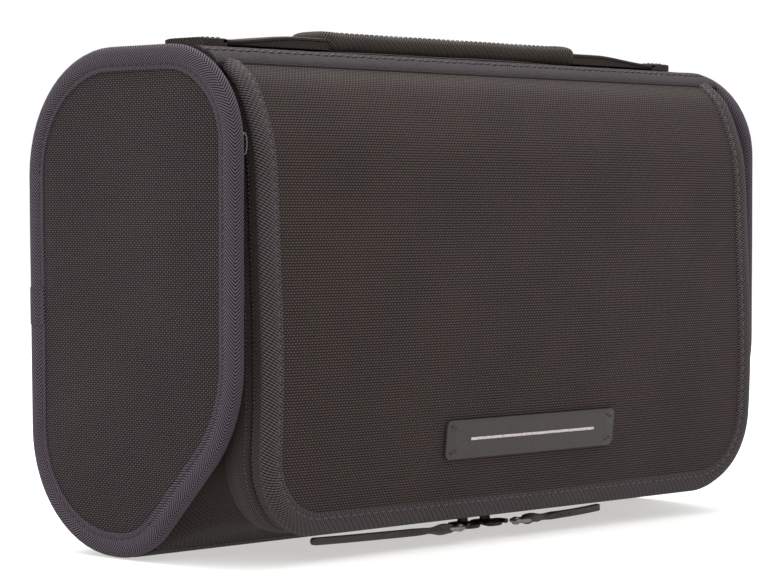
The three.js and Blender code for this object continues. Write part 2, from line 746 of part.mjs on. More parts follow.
const WIRE_SIDES = 8;
const wire = shapeFrom(Array.from({ length: WIRE_SIDES }, (_, i) => {
  const angle = (i * 2 * Math.PI) / WIRE_SIDES;
  return new THREE.Vector2((Math.cos(angle) * HOOK_WIRE) / 2, (Math.sin(angle) * HOOK_WIRE) / 2);
}));
add('hook', 'plastic', new THREE.ExtrudeGeometry(wire, {
  steps: 26,
  bevelEnabled: false,
  extrudePath: new THREE.CatmullRomCurve3(hookPoints),
}));

// ---------------------------------------------------------------- the bag over the origin

const extent = new THREE.Box3().setFromObject(bag, true);
bag.position.y = -(extent.min.y + extent.max.y) / 2;
const part = new THREE.Group();
part.add(bag);

export default part;
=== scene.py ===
"""Hanging toiletry bag: the visible model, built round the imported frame.

Outlines are in the bag's own millimetres: x across, y back from the door's front plane, z up from
the floor. metres() turns them into the frame's metres.
"""

import itertools
import math

import bmesh
import bpy
import numpy as np
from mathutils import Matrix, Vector


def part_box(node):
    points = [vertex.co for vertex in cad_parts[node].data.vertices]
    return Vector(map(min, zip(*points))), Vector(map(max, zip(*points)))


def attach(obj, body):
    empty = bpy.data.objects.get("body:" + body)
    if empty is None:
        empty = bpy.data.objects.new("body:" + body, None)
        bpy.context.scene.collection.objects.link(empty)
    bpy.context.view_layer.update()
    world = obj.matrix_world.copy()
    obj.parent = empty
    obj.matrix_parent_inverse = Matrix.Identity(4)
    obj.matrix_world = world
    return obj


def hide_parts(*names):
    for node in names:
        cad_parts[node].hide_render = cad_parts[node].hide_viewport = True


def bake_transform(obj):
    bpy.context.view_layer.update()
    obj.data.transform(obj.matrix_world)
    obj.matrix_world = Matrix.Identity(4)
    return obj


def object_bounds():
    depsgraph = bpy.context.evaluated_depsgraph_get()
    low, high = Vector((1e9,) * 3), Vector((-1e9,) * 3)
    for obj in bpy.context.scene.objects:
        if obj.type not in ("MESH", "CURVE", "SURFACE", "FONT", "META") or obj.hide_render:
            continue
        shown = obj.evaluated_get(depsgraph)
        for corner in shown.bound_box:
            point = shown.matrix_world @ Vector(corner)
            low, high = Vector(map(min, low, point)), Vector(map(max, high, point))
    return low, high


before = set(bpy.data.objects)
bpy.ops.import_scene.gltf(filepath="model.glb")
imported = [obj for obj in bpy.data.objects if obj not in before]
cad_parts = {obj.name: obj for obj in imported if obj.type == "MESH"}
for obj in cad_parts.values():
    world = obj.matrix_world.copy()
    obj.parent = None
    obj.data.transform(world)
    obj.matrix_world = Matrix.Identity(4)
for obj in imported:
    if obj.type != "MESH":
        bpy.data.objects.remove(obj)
cad_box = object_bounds()

MM = 0.001
END_FRONT = 5.0  # front of the end bindings, behind the door's front plane
FRONT_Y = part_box("end_binding_left")[0].y - END_FRONT * MM
HALF_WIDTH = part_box("end_binding_right")[1].x / MM
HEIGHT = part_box("end_binding_left")[1].z / MM
SIDES = (("left", -1), ("right", 1))
BAG_MIDDLE = np.array([0, 45, 90])  # a place inside the bag, roughly at its middle

# ---------------- the bag's measures

END_CORNERS = [(114, 178, 44), (5, 178, 35), (5, 48.5, 53), (51.6, 0, 33), (111.6, 0, 44)]
BINDING_WIDTH = 8.6
END_THICKNESS = 5.5
INNER_HALF = HALF_WIDTH - END_THICKNESS - 0.3
WRAP_INSET = 1.2
WRAP_THICKNESS = 2.6
BASE_RADIUS = 36
BASE_FRONT_RADIUS = 8
BASE_FRONT_Y = 52
BASE_TOP_Z = 45
TOP_BACK_SEAM_Z = 150

HINGE = (21.4, 172.2)
DOOR_PROFILE = [
    HINGE,
    (13, 165),
    (7, 153),
    (3.2, 139),
    (1.6, 112),
    (0, 75),
    (0.4, 46),
    (2.6, 22),
    (6, 9),
]
CURVE_Z = (90, 145)  # the door's layers turn square to its surface between these heights
DOOR_HALF = 137
DOOR_BOTTOM_Z = 9
DOOR_RADIUS = 30
DOOR_CROWN = 3.2  # how far the padded front stands out at its middle
STRIP_CENTRE = (40, 143)
STRIP_RADIUS = 34.6
STRIP_BACK_Y = 33
HANDLE_Y = 47
HANDLE_BOTTOM_Z = 177.3
GRIP_HALF = 71
GRIP_WIDTH = 22
GRIP_HEIGHT = 8.6
GRIP_NOSE = 4  # length of the rounded part at each end
STRAP_WIDTH = 20
STRAP_JOIN_X = 119
STRAP_END_X = 129
BADGE = (94.5, 14, 38.9)  # length, height, height above the floor
BADGE_X = -1.2
BADGE_LINE = 69.4  # length
BADGE_CORNER = 2.4  # radius
PULL_Y = 8.6
PULL_BOTTOM_Z = 3.4
ZIP_MEET_X = -14.5  # where the two sliders meet
PIVOT_OFFSET = 15.7
PULL_OFFSET = 22.9
PULL_FOLD = 3.4  # the part of a pull that is folded through its ring
PULL_LENGTHS = {"left": 70, "right": 42}
SLIDER_OFFSET = 6.2
SLIDER_Y = (11.5, 19.5)
SLIDER_Z = (4.8, 9.8)
SLIDER_HALF = 5.5
SLIDER_PLATE = 1.6  # thickness of its upper and lower plates
HOOK_Y = 18.6
HOOK_FOLD_Z = 24
HOOK_CENTRE_Z = 62
HOOK_RADIUS = 14
HOOK_WIRE = 5
HOOK_FOOT = (9, 2.8, 4.5)  # half its width, depth and height
# pitch, length and radius of the threads in each kind of stitching, and of the zips' teeth
BINDING_STITCH = (3.1, 2.2, 0.26)
WRAP_STITCH = (3.3, 2.4, 0.28)
DOOR_STITCH = (3.6, 2.2, 0.3)
ZIP_COIL = (1.5, 1.9, 0.55)
TAPE_STITCH = (1.5, 0.75, 0.26)
HINGE_STITCH = (3.75, 2.5, 0.45)
BOX_STITCH = (2.2, 1.7, 0.18)
GRIP_STITCH = (2.6, 1.9, 0.15)
BADGE_STITCH = (1.2, 1.0, 0.36)
PULL_STITCH = (2.2, 1.6, 0.2)
POCKET_COIL = (1.4, 2.4, 0.5)


def metres(points):
    """Bag millimetres to the frame's metres."""
    moved = np.array(points, float) * MM
    moved[..., 1] += FRONT_Y
    return moved


# ---------------- camera

CAMERA_TURN = math.radians(46.76)
CAMERA_DROP = math.radians(1.72)
CAMERA_DISTANCE = 1.09
CAMERA_LENS = 131.5
AIM_RIGHT = -0.0114
AIM_UP = -0.0037


def make_camera():
    centre = (cad_box[0] + cad_box[1]) / 2
    level = math.cos(CAMERA_DROP)
    towards = Vector((
        math.sin(CAMERA_TURN) * level,
        math.cos(CAMERA_TURN) * level,
        -math.sin(CAMERA_DROP),
    ))
    right = Vector((math.cos(CAMERA_TURN), -math.sin(CAMERA_TURN), 0))
    aim = centre + right * AIM_RIGHT + Vector((0, 0, AIM_UP))
    data = bpy.data.cameras.new("camera")
    data.lens = CAMERA_LENS
    data.sensor_width = 36
    camera = bpy.data.objects.new("camera", data)
    camera.location = aim - towards * CAMERA_DISTANCE
    camera.rotation_euler = towards.to_track_quat("-Z", "Y").to_euler()
    bpy.context.collection.objects.link(camera)
    bpy.context.scene.camera = camera


make_camera()

# ---------------- node graphs


class Graph:
    """A material's node tree, with short calls for the nodes that the cloths use."""

    def __init__(self, name):
        self.material = bpy.data.materials.new(name)
        self.material.use_nodes = True
        self.tree = self.material.node_tree
        self.shader = self.tree.nodes["Principled BSDF"]

    def feed(self, socket, value):
        if isinstance(value, bpy.types.NodeSocket):
            self.tree.links.new(value, socket)
        else:
            socket.default_value = value

    def set(self, name, value):
        """A constant on the shader's own socket."""
        self.shader.inputs[name].default_value = value

    def node(self, kind, inputs, output=0, **settings):
        made = self.tree.nodes.new(kind)
        for key, value in settings.items():
            setattr(made, key, value)
        for key, value in inputs.items():
            self.feed(made.inputs[key], value)
        return made.outputs[output]

    def math(self, operation, *values):
        return self.node("ShaderNodeMath", dict(enumerate(values)), operation=operation)

    def ribs(self, value):
        """Half waves from 0 to 1, one for each whole step of the value."""
        return self.math("ABSOLUTE", self.math("SINE", self.math("MULTIPLY", value, math.pi)))

    def place(self):
        """Position on the piece in millimetres: along and across the cloth."""
        spot = self.node("ShaderNodeUVMap", {}, uv_map="cloth")
        split = self.tree.nodes.new("ShaderNodeSeparateXYZ")
        self.tree.links.new(spot, split.inputs[0])
        return spot, split.outputs[0], split.outputs[1]

    def solid_place(self):
        """Position in the piece's own space, in millimetres."""
        spot = self.node("ShaderNodeTexCoord", {}, output="Object")
        return self.node("ShaderNodeVectorMath", {0: spot, 1: (1000, 1000, 1000)}, operation="MULTIPLY")

    def noise(self, spot, size, detail=3.0):
        inputs = {"Vector": spot, "Scale": 1 / size, "Detail": detail}
        return self.node("ShaderNodeTexNoise", inputs, output="Fac")

    def remap(self, value, low, high, to_low, to_high):
        inputs = {0: value, 1: low, 2: high, 3: to_low, 4: to_high}
        return self.node("ShaderNodeMapRange", inputs, interpolation_type="SMOOTHSTEP")

    def blend(self, factor, first, second):
        # inputs 6 and 7 and output 2 are the mix node's colours
        inputs = {"Factor": factor, 6: first, 7: second}
        return self.node("ShaderNodeMix", inputs, output=2, data_type="RGBA")

    def finish(self, colour, roughness, height=None, depth=0.2):
        self.feed(self.shader.inputs["Base Color"], colour)
        self.feed(self.shader.inputs["Roughness"], roughness)
        if height is not None:
            inputs = {"Height": height, "Distance": depth * MM, "Strength": 1.0}
            bump = self.node("ShaderNodeBump", inputs)
            self.feed(self.shader.inputs["Normal"], bump)
        return self.material


def srgb(red, green, blue):
    """A colour from 0-255 display values."""
    def linear(value):
        share = value / 255
        return share / 12.92 if share <= 0.04045 else ((share + 0.055) / 1.055) ** 2.4
    return (linear(red), linear(green), linear(blue), 1.0)


def scaled(colour, share):
    """The same colour, darker or lighter."""
    return tuple(min(1.0, share * channel) for channel in colour[:3]) + (1.0,)


WARP_SHARE = 0.6  # how high the lengthwise threads stand, next to the crosswise ones


def basket(g, u, v, wide, tall):
    """Over-and-under threads; a cell is one crossing, and threads that run across stand higher."""
    a = g.math("DIVIDE", u, wide)
    b = g.math("DIVIDE", v, tall)
    cell = g.math("ADD", g.math("FLOOR", a), g.math("FLOOR", b))
    checker = g.math("FLOORED_MODULO", cell, 2.0)
    across_a = g.ribs(a)
    across_b = g.ribs(b)
    warp = g.math("MULTIPLY", across_a, g.math("MULTIPLY_ADD", across_b, 0.55, 0.45))
    weft = g.math("MULTIPLY", across_b, g.math("MULTIPLY_ADD", across_a, 0.55, 0.45))
    under = g.math("MULTIPLY_ADD", checker, -WARP_SHARE, WARP_SHARE)
    return g.math("MULTIPLY_ADD", warp, under, g.math("MULTIPLY", weft, checker))


def herringbone(g, u, v, width, period):
    """Slanting ribs that turn back at every band of the given width."""
    slant = g.math("PINGPONG", v, width)
    return g.ribs(g.math("DIVIDE", g.math("ADD", u, slant), period))


def twill(g, u, v, period, slope=1.0):
    """Slanting ribs; slope is how far they lean along u for each step across."""
    rib = g.ribs(g.math("DIVIDE", g.math("MULTIPLY_ADD", v, slope, u), period))
    step = g.ribs(g.math("DIVIDE", g.math("SUBTRACT", u, v), period * 2.3))
    return g.math("MULTIPLY", rib, g.math("MULTIPLY_ADD", step, 0.35, 0.65))


def cloth(name, dark, light, weave, measures, roughness=0.88, depth=0.22, low=0.1):
    """weave gives the threads' height from its measures; the colour darkens with that height, which paints
    shade into the hollows between threads, and threads lower than low are wholly dark.
    """
    g = Graph(name)
    spot, u, v = g.place()
    threads = weave(g, u, v, *measures)
    fibre = g.noise(spot, 0.5, 2.0)
    broad = g.noise(spot, 38.0, 3.0)
    # colour follows the threads' height: painted shade in the hollows between threads, with random fibre
    # and broad colour changes mixed in
    level = g.math("MULTIPLY_ADD", fibre, 0.3, g.math("MULTIPLY", threads, 0.8))
    shade_and_tone = g.math("MULTIPLY_ADD", g.math("SUBTRACT", broad, 0.5), 0.12, level)
    colour = g.blend(g.remap(shade_and_tone, low, 1.05, 0.0, 1.0), srgb(*dark), srgb(*light))
    rough = g.remap(threads, 0.0, 1.0, min(roughness + 0.1, 1.0), roughness - 0.06)
    g.set("Sheen Weight", 0.04)
    g.set("Sheen Roughness", 0.5)
    g.set("Specular IOR Level", 0.12)
    return g.finish(colour, rough, level, depth)


def net(g, u, v, period):
    """Round holes in a fine net: height is 0 in a hole, so the cloth paints the hole in its dark colour,
    painted shade in place of an open hole.
    """
    a = g.ribs(g.math("DIVIDE", u, period))
    b = g.ribs(g.math("DIVIDE", v, period))
    return g.remap(g.math("MULTIPLY", a, b), 0.35, 0.6, 1.0, 0.0)


def thread(name, colour):
    g = Graph(name)
    _, u, v = g.place()
    # the twist's grooves are painted darker: painted shade, following the ridges that also make the bump
    ply_and_groove_shade = g.math("ABSOLUTE", g.math("SINE", g.math("MULTIPLY", g.math("ADD", u, v), 3.0)))
    return g.finish(g.blend(ply_and_groove_shade, scaled(colour, 0.4), colour), 0.6, ply_and_groove_shade, 0.06)


def polymer(name, colour, roughness):
    g = Graph(name)
    spot = g.solid_place()
    grain = g.noise(spot, 0.5, 2.0)
    wear = g.noise(spot, 9.0, 4.0)
    tint = g.blend(g.remap(wear, 0.35, 0.75, 0.0, 0.6), colour, scaled(colour, 1.7))
    rough = g.remap(wear, 0.2, 0.8, roughness - 0.08, roughness + 0.12)
    return g.finish(tint, rough, grain, 0.03)


def leather(name, dark, light):
    g = Graph(name)
    spot = g.solid_place()
    cells = g.node("ShaderNodeTexVoronoi", {"Vector": spot, "Scale": 1.4}, output="Distance")
    broad = g.noise(spot, 7.0, 4.0)
    grain = g.math("MULTIPLY_ADD", broad, 0.5, g.math("MULTIPLY", cells, 0.5))
    colour = g.blend(g.remap(grain, 0.15, 0.8, 0.0, 1.0), dark, light)
    g.set("Specular IOR Level", 0.3)
    return g.finish(colour, g.remap(broad, 0.2, 0.8, 0.45, 0.6), cells, 0.03)


def metal(name, colour, roughness):
    g = Graph(name)
    scuff = g.noise(g.solid_place(), 1.5, 5.0)
    g.set("Metallic", 0.85)
    tint = g.blend(g.remap(scuff, 0.3, 0.7, 0.0, 1.0), scaled(colour, 0.6), colour)
    return g.finish(tint, g.remap(scuff, 0.2, 0.8, roughness, roughness + 0.2), scuff, 0.02)


# the material's name, dark and light colours (the dark one mostly painted shade in the weave's hollows),
# weave, the weave's measures and other settings
CLOTHS = {
    "ballistic": ("ballistic_nylon", (5, 3, 3), (82, 69, 65), basket, (0.75, 0.95), {"low": 0.2}),
    "end_cloth": ("end_nylon", (5, 3, 4), (88, 73, 76), basket, (0.9, 0.75), {"low": 0.28}),
    "gusset": ("gusset_nylon", (10, 7, 6), (66, 55, 51), basket, (0.9, 0.75), {}),
    "binding": ("binding_tape", (3, 2, 3), (83, 73, 82), herringbone, (4.3, 1.25), {"low": 0.34}),
    "door_binding": ("door_binding_tape", (3, 2, 2), (82, 73, 75), twill, (1.05, 0.45), {"low": 0.26}),
    "zip_tape": ("zip_tape", (4, 3, 3), (68, 58, 55), herringbone, (2.6, 1.1), {"low": 0.25}),
    "strip": ("strip_tape", (5, 4, 5), (72, 62, 66), basket, (0.6, 0.6), {}),
    "webbing": ("webbing", (7, 6, 6), (60, 54, 50), herringbone, (2.5, 1.3), {"depth": 0.35}),
    "grip": ("grip_wrap", (8, 6, 5), (68, 60, 54), twill, (1.3,), {"depth": 0.3}),
    "lining": (
        "lining", (50, 50, 55), (104, 104, 110), basket, (0.4, 0.4), {"roughness": 0.7, "depth": 0.06},
    ),
    "mesh": ("mesh", (8, 8, 10), (58, 58, 64), net, (2.2,), {"depth": 0.5}),
}
PLAIN = {
    "thread": (thread, srgb(68, 61, 64)),
    "dark_thread": (thread, srgb(50, 43, 47)),
    "loop": (thread, srgb(112, 108, 104)),
    "black_thread": (thread, srgb(24, 21, 21)),
    "coil": (polymer, srgb(22, 19, 19), 0.42),
    "plastic": (polymer, srgb(34, 34, 37), 0.4),
    "board": (polymer, srgb(34, 34, 35), 0.75),
    "leather": (leather, srgb(42, 38, 36), srgb(52, 48, 45)),
    "pull_leather": (leather, srgb(22, 19, 17), srgb(48, 43, 40)),
    "metal": (metal, srgb(128, 126, 124), 0.32),
    "slider_metal": (metal, srgb(44, 40, 39), 0.35),
    "inlay": (metal, srgb(206, 196, 196), 0.45),
}
MATERIALS = {key: cloth(*recipe, **settings) for key, (*recipe, settings) in CLOTHS.items()}
MATERIALS.update({key: recipe(key, *looks) for key, (recipe, *looks) in PLAIN.items()})

# ---------------- meshes from grids of points


SHARP_ANGLE = math.radians(55)


def running_length(line, closed):
    points = np.vstack([line, line[:1]]) if closed else line
    steps = np.linalg.norm(np.diff(points, axis=0), axis=1)
    return np.concatenate([[0.0], np.cumsum(steps)])


def along_line(line, run, at):
    """Points of a line at the given distances along it."""
    return np.column_stack([np.interp(at, run, line[:, k]) for k in range(line.shape[1])])


def unit(rows):
    """Vectors in rows, scaled to length 1."""
    return rows / np.linalg.norm(rows, axis=1)[:, None]


def quarter_turn(rows):
    """Flat vectors in rows, turned anticlockwise."""
    return np.column_stack([-rows[:, 1], rows[:, 0]])


def circle(count):
    """Evenly spaced angles all the way round."""
    return np.linspace(0, 2 * math.pi, count, endpoint=False)


def squarish(angles, power):
    """Cosines and sines drawn out towards a square, the more so the lower the power."""
    c, s = np.cos(angles), np.sin(angles)
    return np.copysign(np.abs(c) ** power, c), np.copysign(np.abs(s) ** power, s)


def hump(value, centre, width):
    """1 at the centre, falling to 0 on both sides."""
    return np.exp(-((value - centre) / width) ** 2)


def mirrored(section):
    """One side of a binding's section, and then the other side back to the start."""
    return section + [(a, -b) for a, b in reversed(section)]


def points_at(x, y, z):
    """Rows or grids of points from their three coordinates, any of which may be one number."""
    return np.stack(np.broadcast_arrays(x, y, z), axis=-1)


class Shape:
    """Vertices, faces and cloth coordinates gathered for one piece, in bag millimetres."""

    def __init__(self):
        self.points = []
        self.faces = []
        self.places = []
        self.count = 0

    def vertices(self, points):
        start = self.count
        flat = np.array(points, float).reshape(-1, 3)
        self.points.append(flat)
        self.count += len(flat)
        return start

    def face(self, corners, places):
        self.faces.append(corners)
        self.places.extend(places)

    def grid(self, points, loop_rows=False, loop_columns=False, caps=False, places=None):
        """Quads between rows and columns of points; places are cloth coordinates, if not measured."""
        points = np.array(points, float)
        rows, columns = points.shape[:2]
        start = self.vertices(points)
        u = running_length(points[:, columns // 2], loop_rows)
        v = running_length(points[rows // 2], loop_columns)

        def spot(i, j):
            if places is None:
                return (u[i], v[j])
            return tuple(places[i % rows][j % columns])

        for i in range(rows if loop_rows else rows - 1):
            for j in range(columns if loop_columns else columns - 1):
                corners = [(i, j), (i + 1, j), (i + 1, j + 1), (i, j + 1)]
                self.face(
                    [start + (a % rows) * columns + b % columns for a, b in corners],
                    [spot(a, b) for a, b in corners],
                )
        if caps:
            for i in (0, rows - 1):
                self.face(
                    [start + i * columns + j for j in range(columns)],
                    [spot(i, j) for j in range(columns)],
                )
        return self

    def rings(self, points, places=None):
        """A skin round a row of rings, closed at both ends."""
        return self.grid(points, loop_columns=True, caps=True, places=places)

    def sheet(self, outer, inner, places=None):
        """A closed sheet between two matching grids."""
        outer = np.array(outer, float)
        inner = np.array(inner, float)
        rows, columns = outer.shape[:2]
        self.grid(outer, places=places)
        self.grid(inner, places=places)
        first = self.count - 2 * rows * columns
        second = self.count - rows * columns
        edge = [(0, j) for j in range(columns)]
        edge += [(i, columns - 1) for i in range(1, rows)]
        edge += [(rows - 1, j) for j in range(columns - 2, -1, -1)]
        edge += [(i, 0) for i in range(rows - 2, 0, -1)]
        width = np.linalg.norm(outer[0, 0] - inner[0, 0])
        run = 0.0
        for (a, b), (c, d) in zip(edge, edge[1:] + edge[:1]):
            k, m = a * columns + b, c * columns + d
            step = np.linalg.norm(outer[a, b] - outer[c, d])
            corners = [first + k, first + m, second + m, second + k]
            self.face(corners, [(run, 0), (run + step, 0), (run + step, width), (run, width)])
            run += step
        return self

    def stitches(self, line, ups, pitch, length, radius, across=None, lift=0.4):
        """Short rounded threads along a line, or across it where directions are given."""
        line = np.array(line, float)
        ups = np.broadcast_to(np.array(ups, float), line.shape)
        run = running_length(line, False)
        count = max(2, int(run[-1] / pitch))
        at = (np.arange(count) + 0.5) * run[-1] / count
        centres = along_line(line, run, at)
        tops = unit(along_line(ups, run, at))
        if across is None:
            along = along_line(line, run, at + 0.2) - along_line(line, run, at - 0.2)
        else:
            along = along_line(np.broadcast_to(np.array(across, float), line.shape), run, at)
        along = unit(along)
        sides = np.cross(along, tops)
        stations = [(-0.5, 0.45, 0.0), (-0.3, 0.95, 0.6), (0, 1.0, 1.0), (0.3, 0.95, 0.6), (0.5, 0.45, 0.0)]
        turns = circle(6)
        for centre, top, ahead, side in zip(centres, tops, along, sides):
            rings = []
            for share, girth, rise in stations:
                middle = centre + ahead * share * length + top * radius * (lift + 0.5 * rise - 0.5)
                rings.append([
                    middle + radius * girth * (side * math.cos(t) + top * math.sin(t)) for t in turns
                ])
            self.rings(rings)
        return self

    def tube(self, line, radii, sides=10, flat=1.0, up=(0, 0, 1)):
        """A round or flattened tube along a line, with its ends drawn in."""
        line = np.array(line, float)
        radii = np.broadcast_to(radii, len(line))
        ahead = unit(np.gradient(line, axis=0))
        rings = []
        side = np.cross(ahead[0], up)
        if np.linalg.norm(side) < 1e-6:
            side = np.cross(ahead[0], (1, 0, 0.2))
        for point, direction, radius in zip(line, ahead, radii):
            side = side - direction * (side @ direction)
            side /= np.linalg.norm(side)
            top = np.cross(side, direction)
            rings.append([
                point + radius * (side * math.cos(t) + flat * top * math.sin(t))
                for t in circle(sides)
            ])
        return self.rings(rings)

    def block(self, low, high, power):
        """A block with well rounded upright edges and softened top and bottom."""
        low = np.array(low, float)
        high = np.array(high, float)
        centre = (low + high) / 2
        half = (high - low) / 2
        wide, deep = squarish(circle(24), power)
        rings = []
        for level in np.linspace(-1, 1, 9):
            shrink = 1 - 0.22 * abs(level) ** 6
            rings.append(centre + half * points_at(shrink * wide, shrink * deep, level))
        return self.rings(rings)

    def piece(self, name, material, slot, body=None, replaces=()):
        """Makes and names the object, hides the frame's parts that it replaces, and lets it ride on its
        body.
        """
        points = metres(np.vstack(self.points))
        mesh = bpy.data.meshes.new(name)
        mesh.from_pydata(points.tolist(), [], self.faces)
        layer = mesh.uv_layers.new(name="cloth")
        layer.data.foreach_set("uv", np.array(self.places, np.float32).ravel())
        work = bmesh.new()
        work.from_mesh(mesh)
        bmesh.ops.recalc_face_normals(work, faces=work.faces)
        work.to_mesh(mesh)
        work.free()
        mesh.polygons.foreach_set("use_smooth", [True] * len(mesh.polygons))
        mesh.set_sharp_from_angle(angle=SHARP_ANGLE)
        mesh.materials.append(MATERIALS[material])
        made = bpy.data.objects.new(name, mesh)
        bpy.context.collection.objects.link(made)
        if replaces:
            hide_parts(*replaces)
        if body:
            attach(made, body)
        return made


# ---------------- outlines


def inset_corners(corners, inset):
    """Corners (u, v, radius) of an anticlockwise outline moved inwards."""
    edges = []
    for i, corner in enumerate(corners):
        a = Vector(corner[:2])
        b = Vector(corners[(i + 1) % len(corners)][:2])
        along = (b - a).normalized()
        edges.append((a + Vector((-along.y, along.x)) * inset, along))
    moved = []
    for i, corner in enumerate(corners):
        (p, d), (q, e) = edges[i - 1], edges[i]
        cross = d.x * e.y - d.y * e.x
        reach = ((q.x - p.x) * e.y - (q.y - p.y) * e.x) / cross
        point = p + d * reach
        moved.append((point.x, point.y, max(corner[2] - inset, 0.5)))
    return moved


def rounded_outline(corners, steps=14):
    points = []
    for i, (u, v, radius) in enumerate(corners):
        corner = Vector((u, v))
        before = (Vector(corners[i - 1][:2]) - corner).normalized()
        after = (Vector(corners[(i + 1) % len(corners)][:2]) - corner).normalized()
        half = math.acos(max(-1.0, min(1.0, before.dot(after)))) / 2
        centre = corner + (before + after).normalized() * (radius / math.sin(half))
        start = corner + before * (radius / math.tan(half)) - centre
        end = corner + after * (radius / math.tan(half)) - centre
        turn = math.atan2(start.x * end.y - start.y * end.x, start.dot(end))
        for step in range(steps + 1):
            angle = turn * step / steps
            c, s = math.cos(angle), math.sin(angle)
            points.append((
                centre.x + start.x * c - start.y * s,
                centre.y + start.x * s + start.y * c,
            ))
    return np.array(points)


def even(points, count, closed=True):
    """The same line with evenly spaced points."""
    line = np.vstack([points, points[:1]]) if closed else np.array(points)
    run = running_length(line, False)
    return along_line(line, run, np.linspace(0, run[-1], count, endpoint=not closed))


def inward_normals(points, closed=True):
    """Unit normals to the left of the way that an outline runs."""
    if closed:
        tangent = np.roll(points, -1, axis=0) - np.roll(points, 1, axis=0)
    else:
        tangent = np.gradient(points, axis=0)
    return quarter_turn(unit(tangent))


def ripple(a, b, size):
    """Slow uneven waves, from -1 to 1, for slack cloth."""
    first = np.sin(a / size * 1.7 + 0.9 * np.sin(b / size * 1.3 + 0.4))
    second = np.sin(b / size * 2.1 + 1.3 * np.sin(a / size * 0.9 + 2.0))
    return (first + second) / 2


def smoothstep(value, low, high):
    share = np.clip((np.asarray(value, float) - low) / (high - low), 0, 1)
    return share * share * (3 - 2 * share)


# ---------------- end panels and their bindings

END_STEPS = 220
BINDING_STITCH_INSET = 6.7
TAPE_JOIN_Z = 88
BINDING_SECTION = [
    (8.6, 1.75),
    (8.5, 2.3),
    (7.4, 2.5),
    (6.7, 2.25),
    (6.0, 2.65),
    (4.2, 2.85),
    (2.6, 2.8),
    (1.3, 2.45),
    (0.4, 1.7),
    (0.0, 0.7),
]


def end_face(side, depth):
    """x of a layer of an end: depth is measured outwards from the middle of its thickness."""
    return side * (HALF_WIDTH - END_THICKNESS / 2 + depth)


def end_binding(label, side):
    outline = even(rounded_outline(END_CORNERS), END_STEPS)
    normal = inward_normals(outline)
    run = running_length(outline, False)
    rings = []
    for (y, z), (ny, nz), s in zip(outline, normal, run):
        # a taped edge is never quite even
        swell = 1 + 0.035 * math.sin(s / 9.0) * math.sin(s / 31.0 + side)
        rings.append([
            (end_face(side, b * swell * 0.96), y + ny * a, z + nz * a) for a, b in mirrored(BINDING_SECTION)
        ])
    Shape().grid(rings, loop_rows=True, loop_columns=True).piece(
        f"bound_edge_{label}", "binding", "binding", "pod", [f"end_binding_{label}"],
    )
    y, z = (outline + normal * BINDING_STITCH_INSET).T
    stitch_row = points_at(end_face(side, 2.25), y, z)
    Shape().stitches(stitch_row, (side, 0, 0), *BINDING_STITCH).piece(
        f"edge_stitches_{label}", "black_thread", "binding", "pod",
    )
    tape_join(label, side, outline, normal)


def tape_join(label, side, outline, normal):
    """Where the binding tape overlaps its own start, half way up the back edge."""
    on_back = [i for i, (y, z) in enumerate(outline) if y >= 90]
    at = min(on_back, key=lambda i: abs(outline[i][1] - TAPE_JOIN_Z))
    section = mirrored([(a * 0.999 - 0.1, b + 0.15) for a, b in BINDING_SECTION])
    rings = []
    for (y, z), (ny, nz) in zip(outline[at - 3:at + 4], normal[at - 3:at + 4]):
        rings.append([(end_face(side, b), y + ny * a, z + nz * a) for a, b in section])
    Shape().rings(rings).piece(f"tape_overlap_{label}", "binding", "binding", "pod")


def end_panel(label, side):
    outline = even(rounded_outline(inset_corners(END_CORNERS, BINDING_WIDTH - 2.2)), END_STEPS)
    centre = outline.mean(axis=0)
    shares = np.concatenate([np.linspace(1, 0.86, 8), np.linspace(0.8, 0.02, 18)])

    def layer(base, crown, wave):
        rings = []
        for share in shares:
            yz = centre + (outline - centre) * share
            rise = crown * (1 - share ** 5) + wave * ripple(yz[:, 0], yz[:, 1], 26) * (1 - share ** 8)
            rings.append(np.column_stack([end_face(side, base + rise), yz]))
        return rings

    rings = np.array(layer(1.55, 1.05, 0.35)[::-1] + layer(-1.7, -0.2, 0.15))
    Shape().rings(rings, places=rings[..., 1:]).piece(
        f"end_wall_{label}", "end_cloth", "ballistic", "pod", [f"end_panel_{label}"],
    )


for label, side in SIDES:
    end_binding(label, side)
    end_panel(label, side)

# ---------------- the wrap and its lining

WRAP_SIDES = 61
TOP_SWELL = 1.8
BACK_SWELL = 1.3
WRAP_SLACK = 0.45
FRONT_LIFT = 2.4  # the base curves up off the floor where it meets the gusset


def wrap_path(inset):
    """The wrap's outline from the front of the top, over the back and under to the front."""
    corners = [list(corner) for corner in END_CORNERS]
    corners[3][2] = BASE_FRONT_RADIUS
    corners[4][2] = BASE_RADIUS
    moved = inset_corners(corners, inset)
    moved = [(y, z - WRAP_INSET if i > 2 else z, r) for i, (y, z, r) in enumerate(moved)]
    outline = rounded_outline(moved)[::-1]
    outline = even(outline, 600)
    first = np.argmin(np.abs(outline[:, 0] - STRIP_BACK_Y - 0.4) + (outline[:, 1] < 150) * 999)
    outline = np.roll(outline, -first, axis=0)
    last = next(i for i, (y, z) in enumerate(outline) if z < 10 and y < BASE_FRONT_Y)
    return outline[:last]


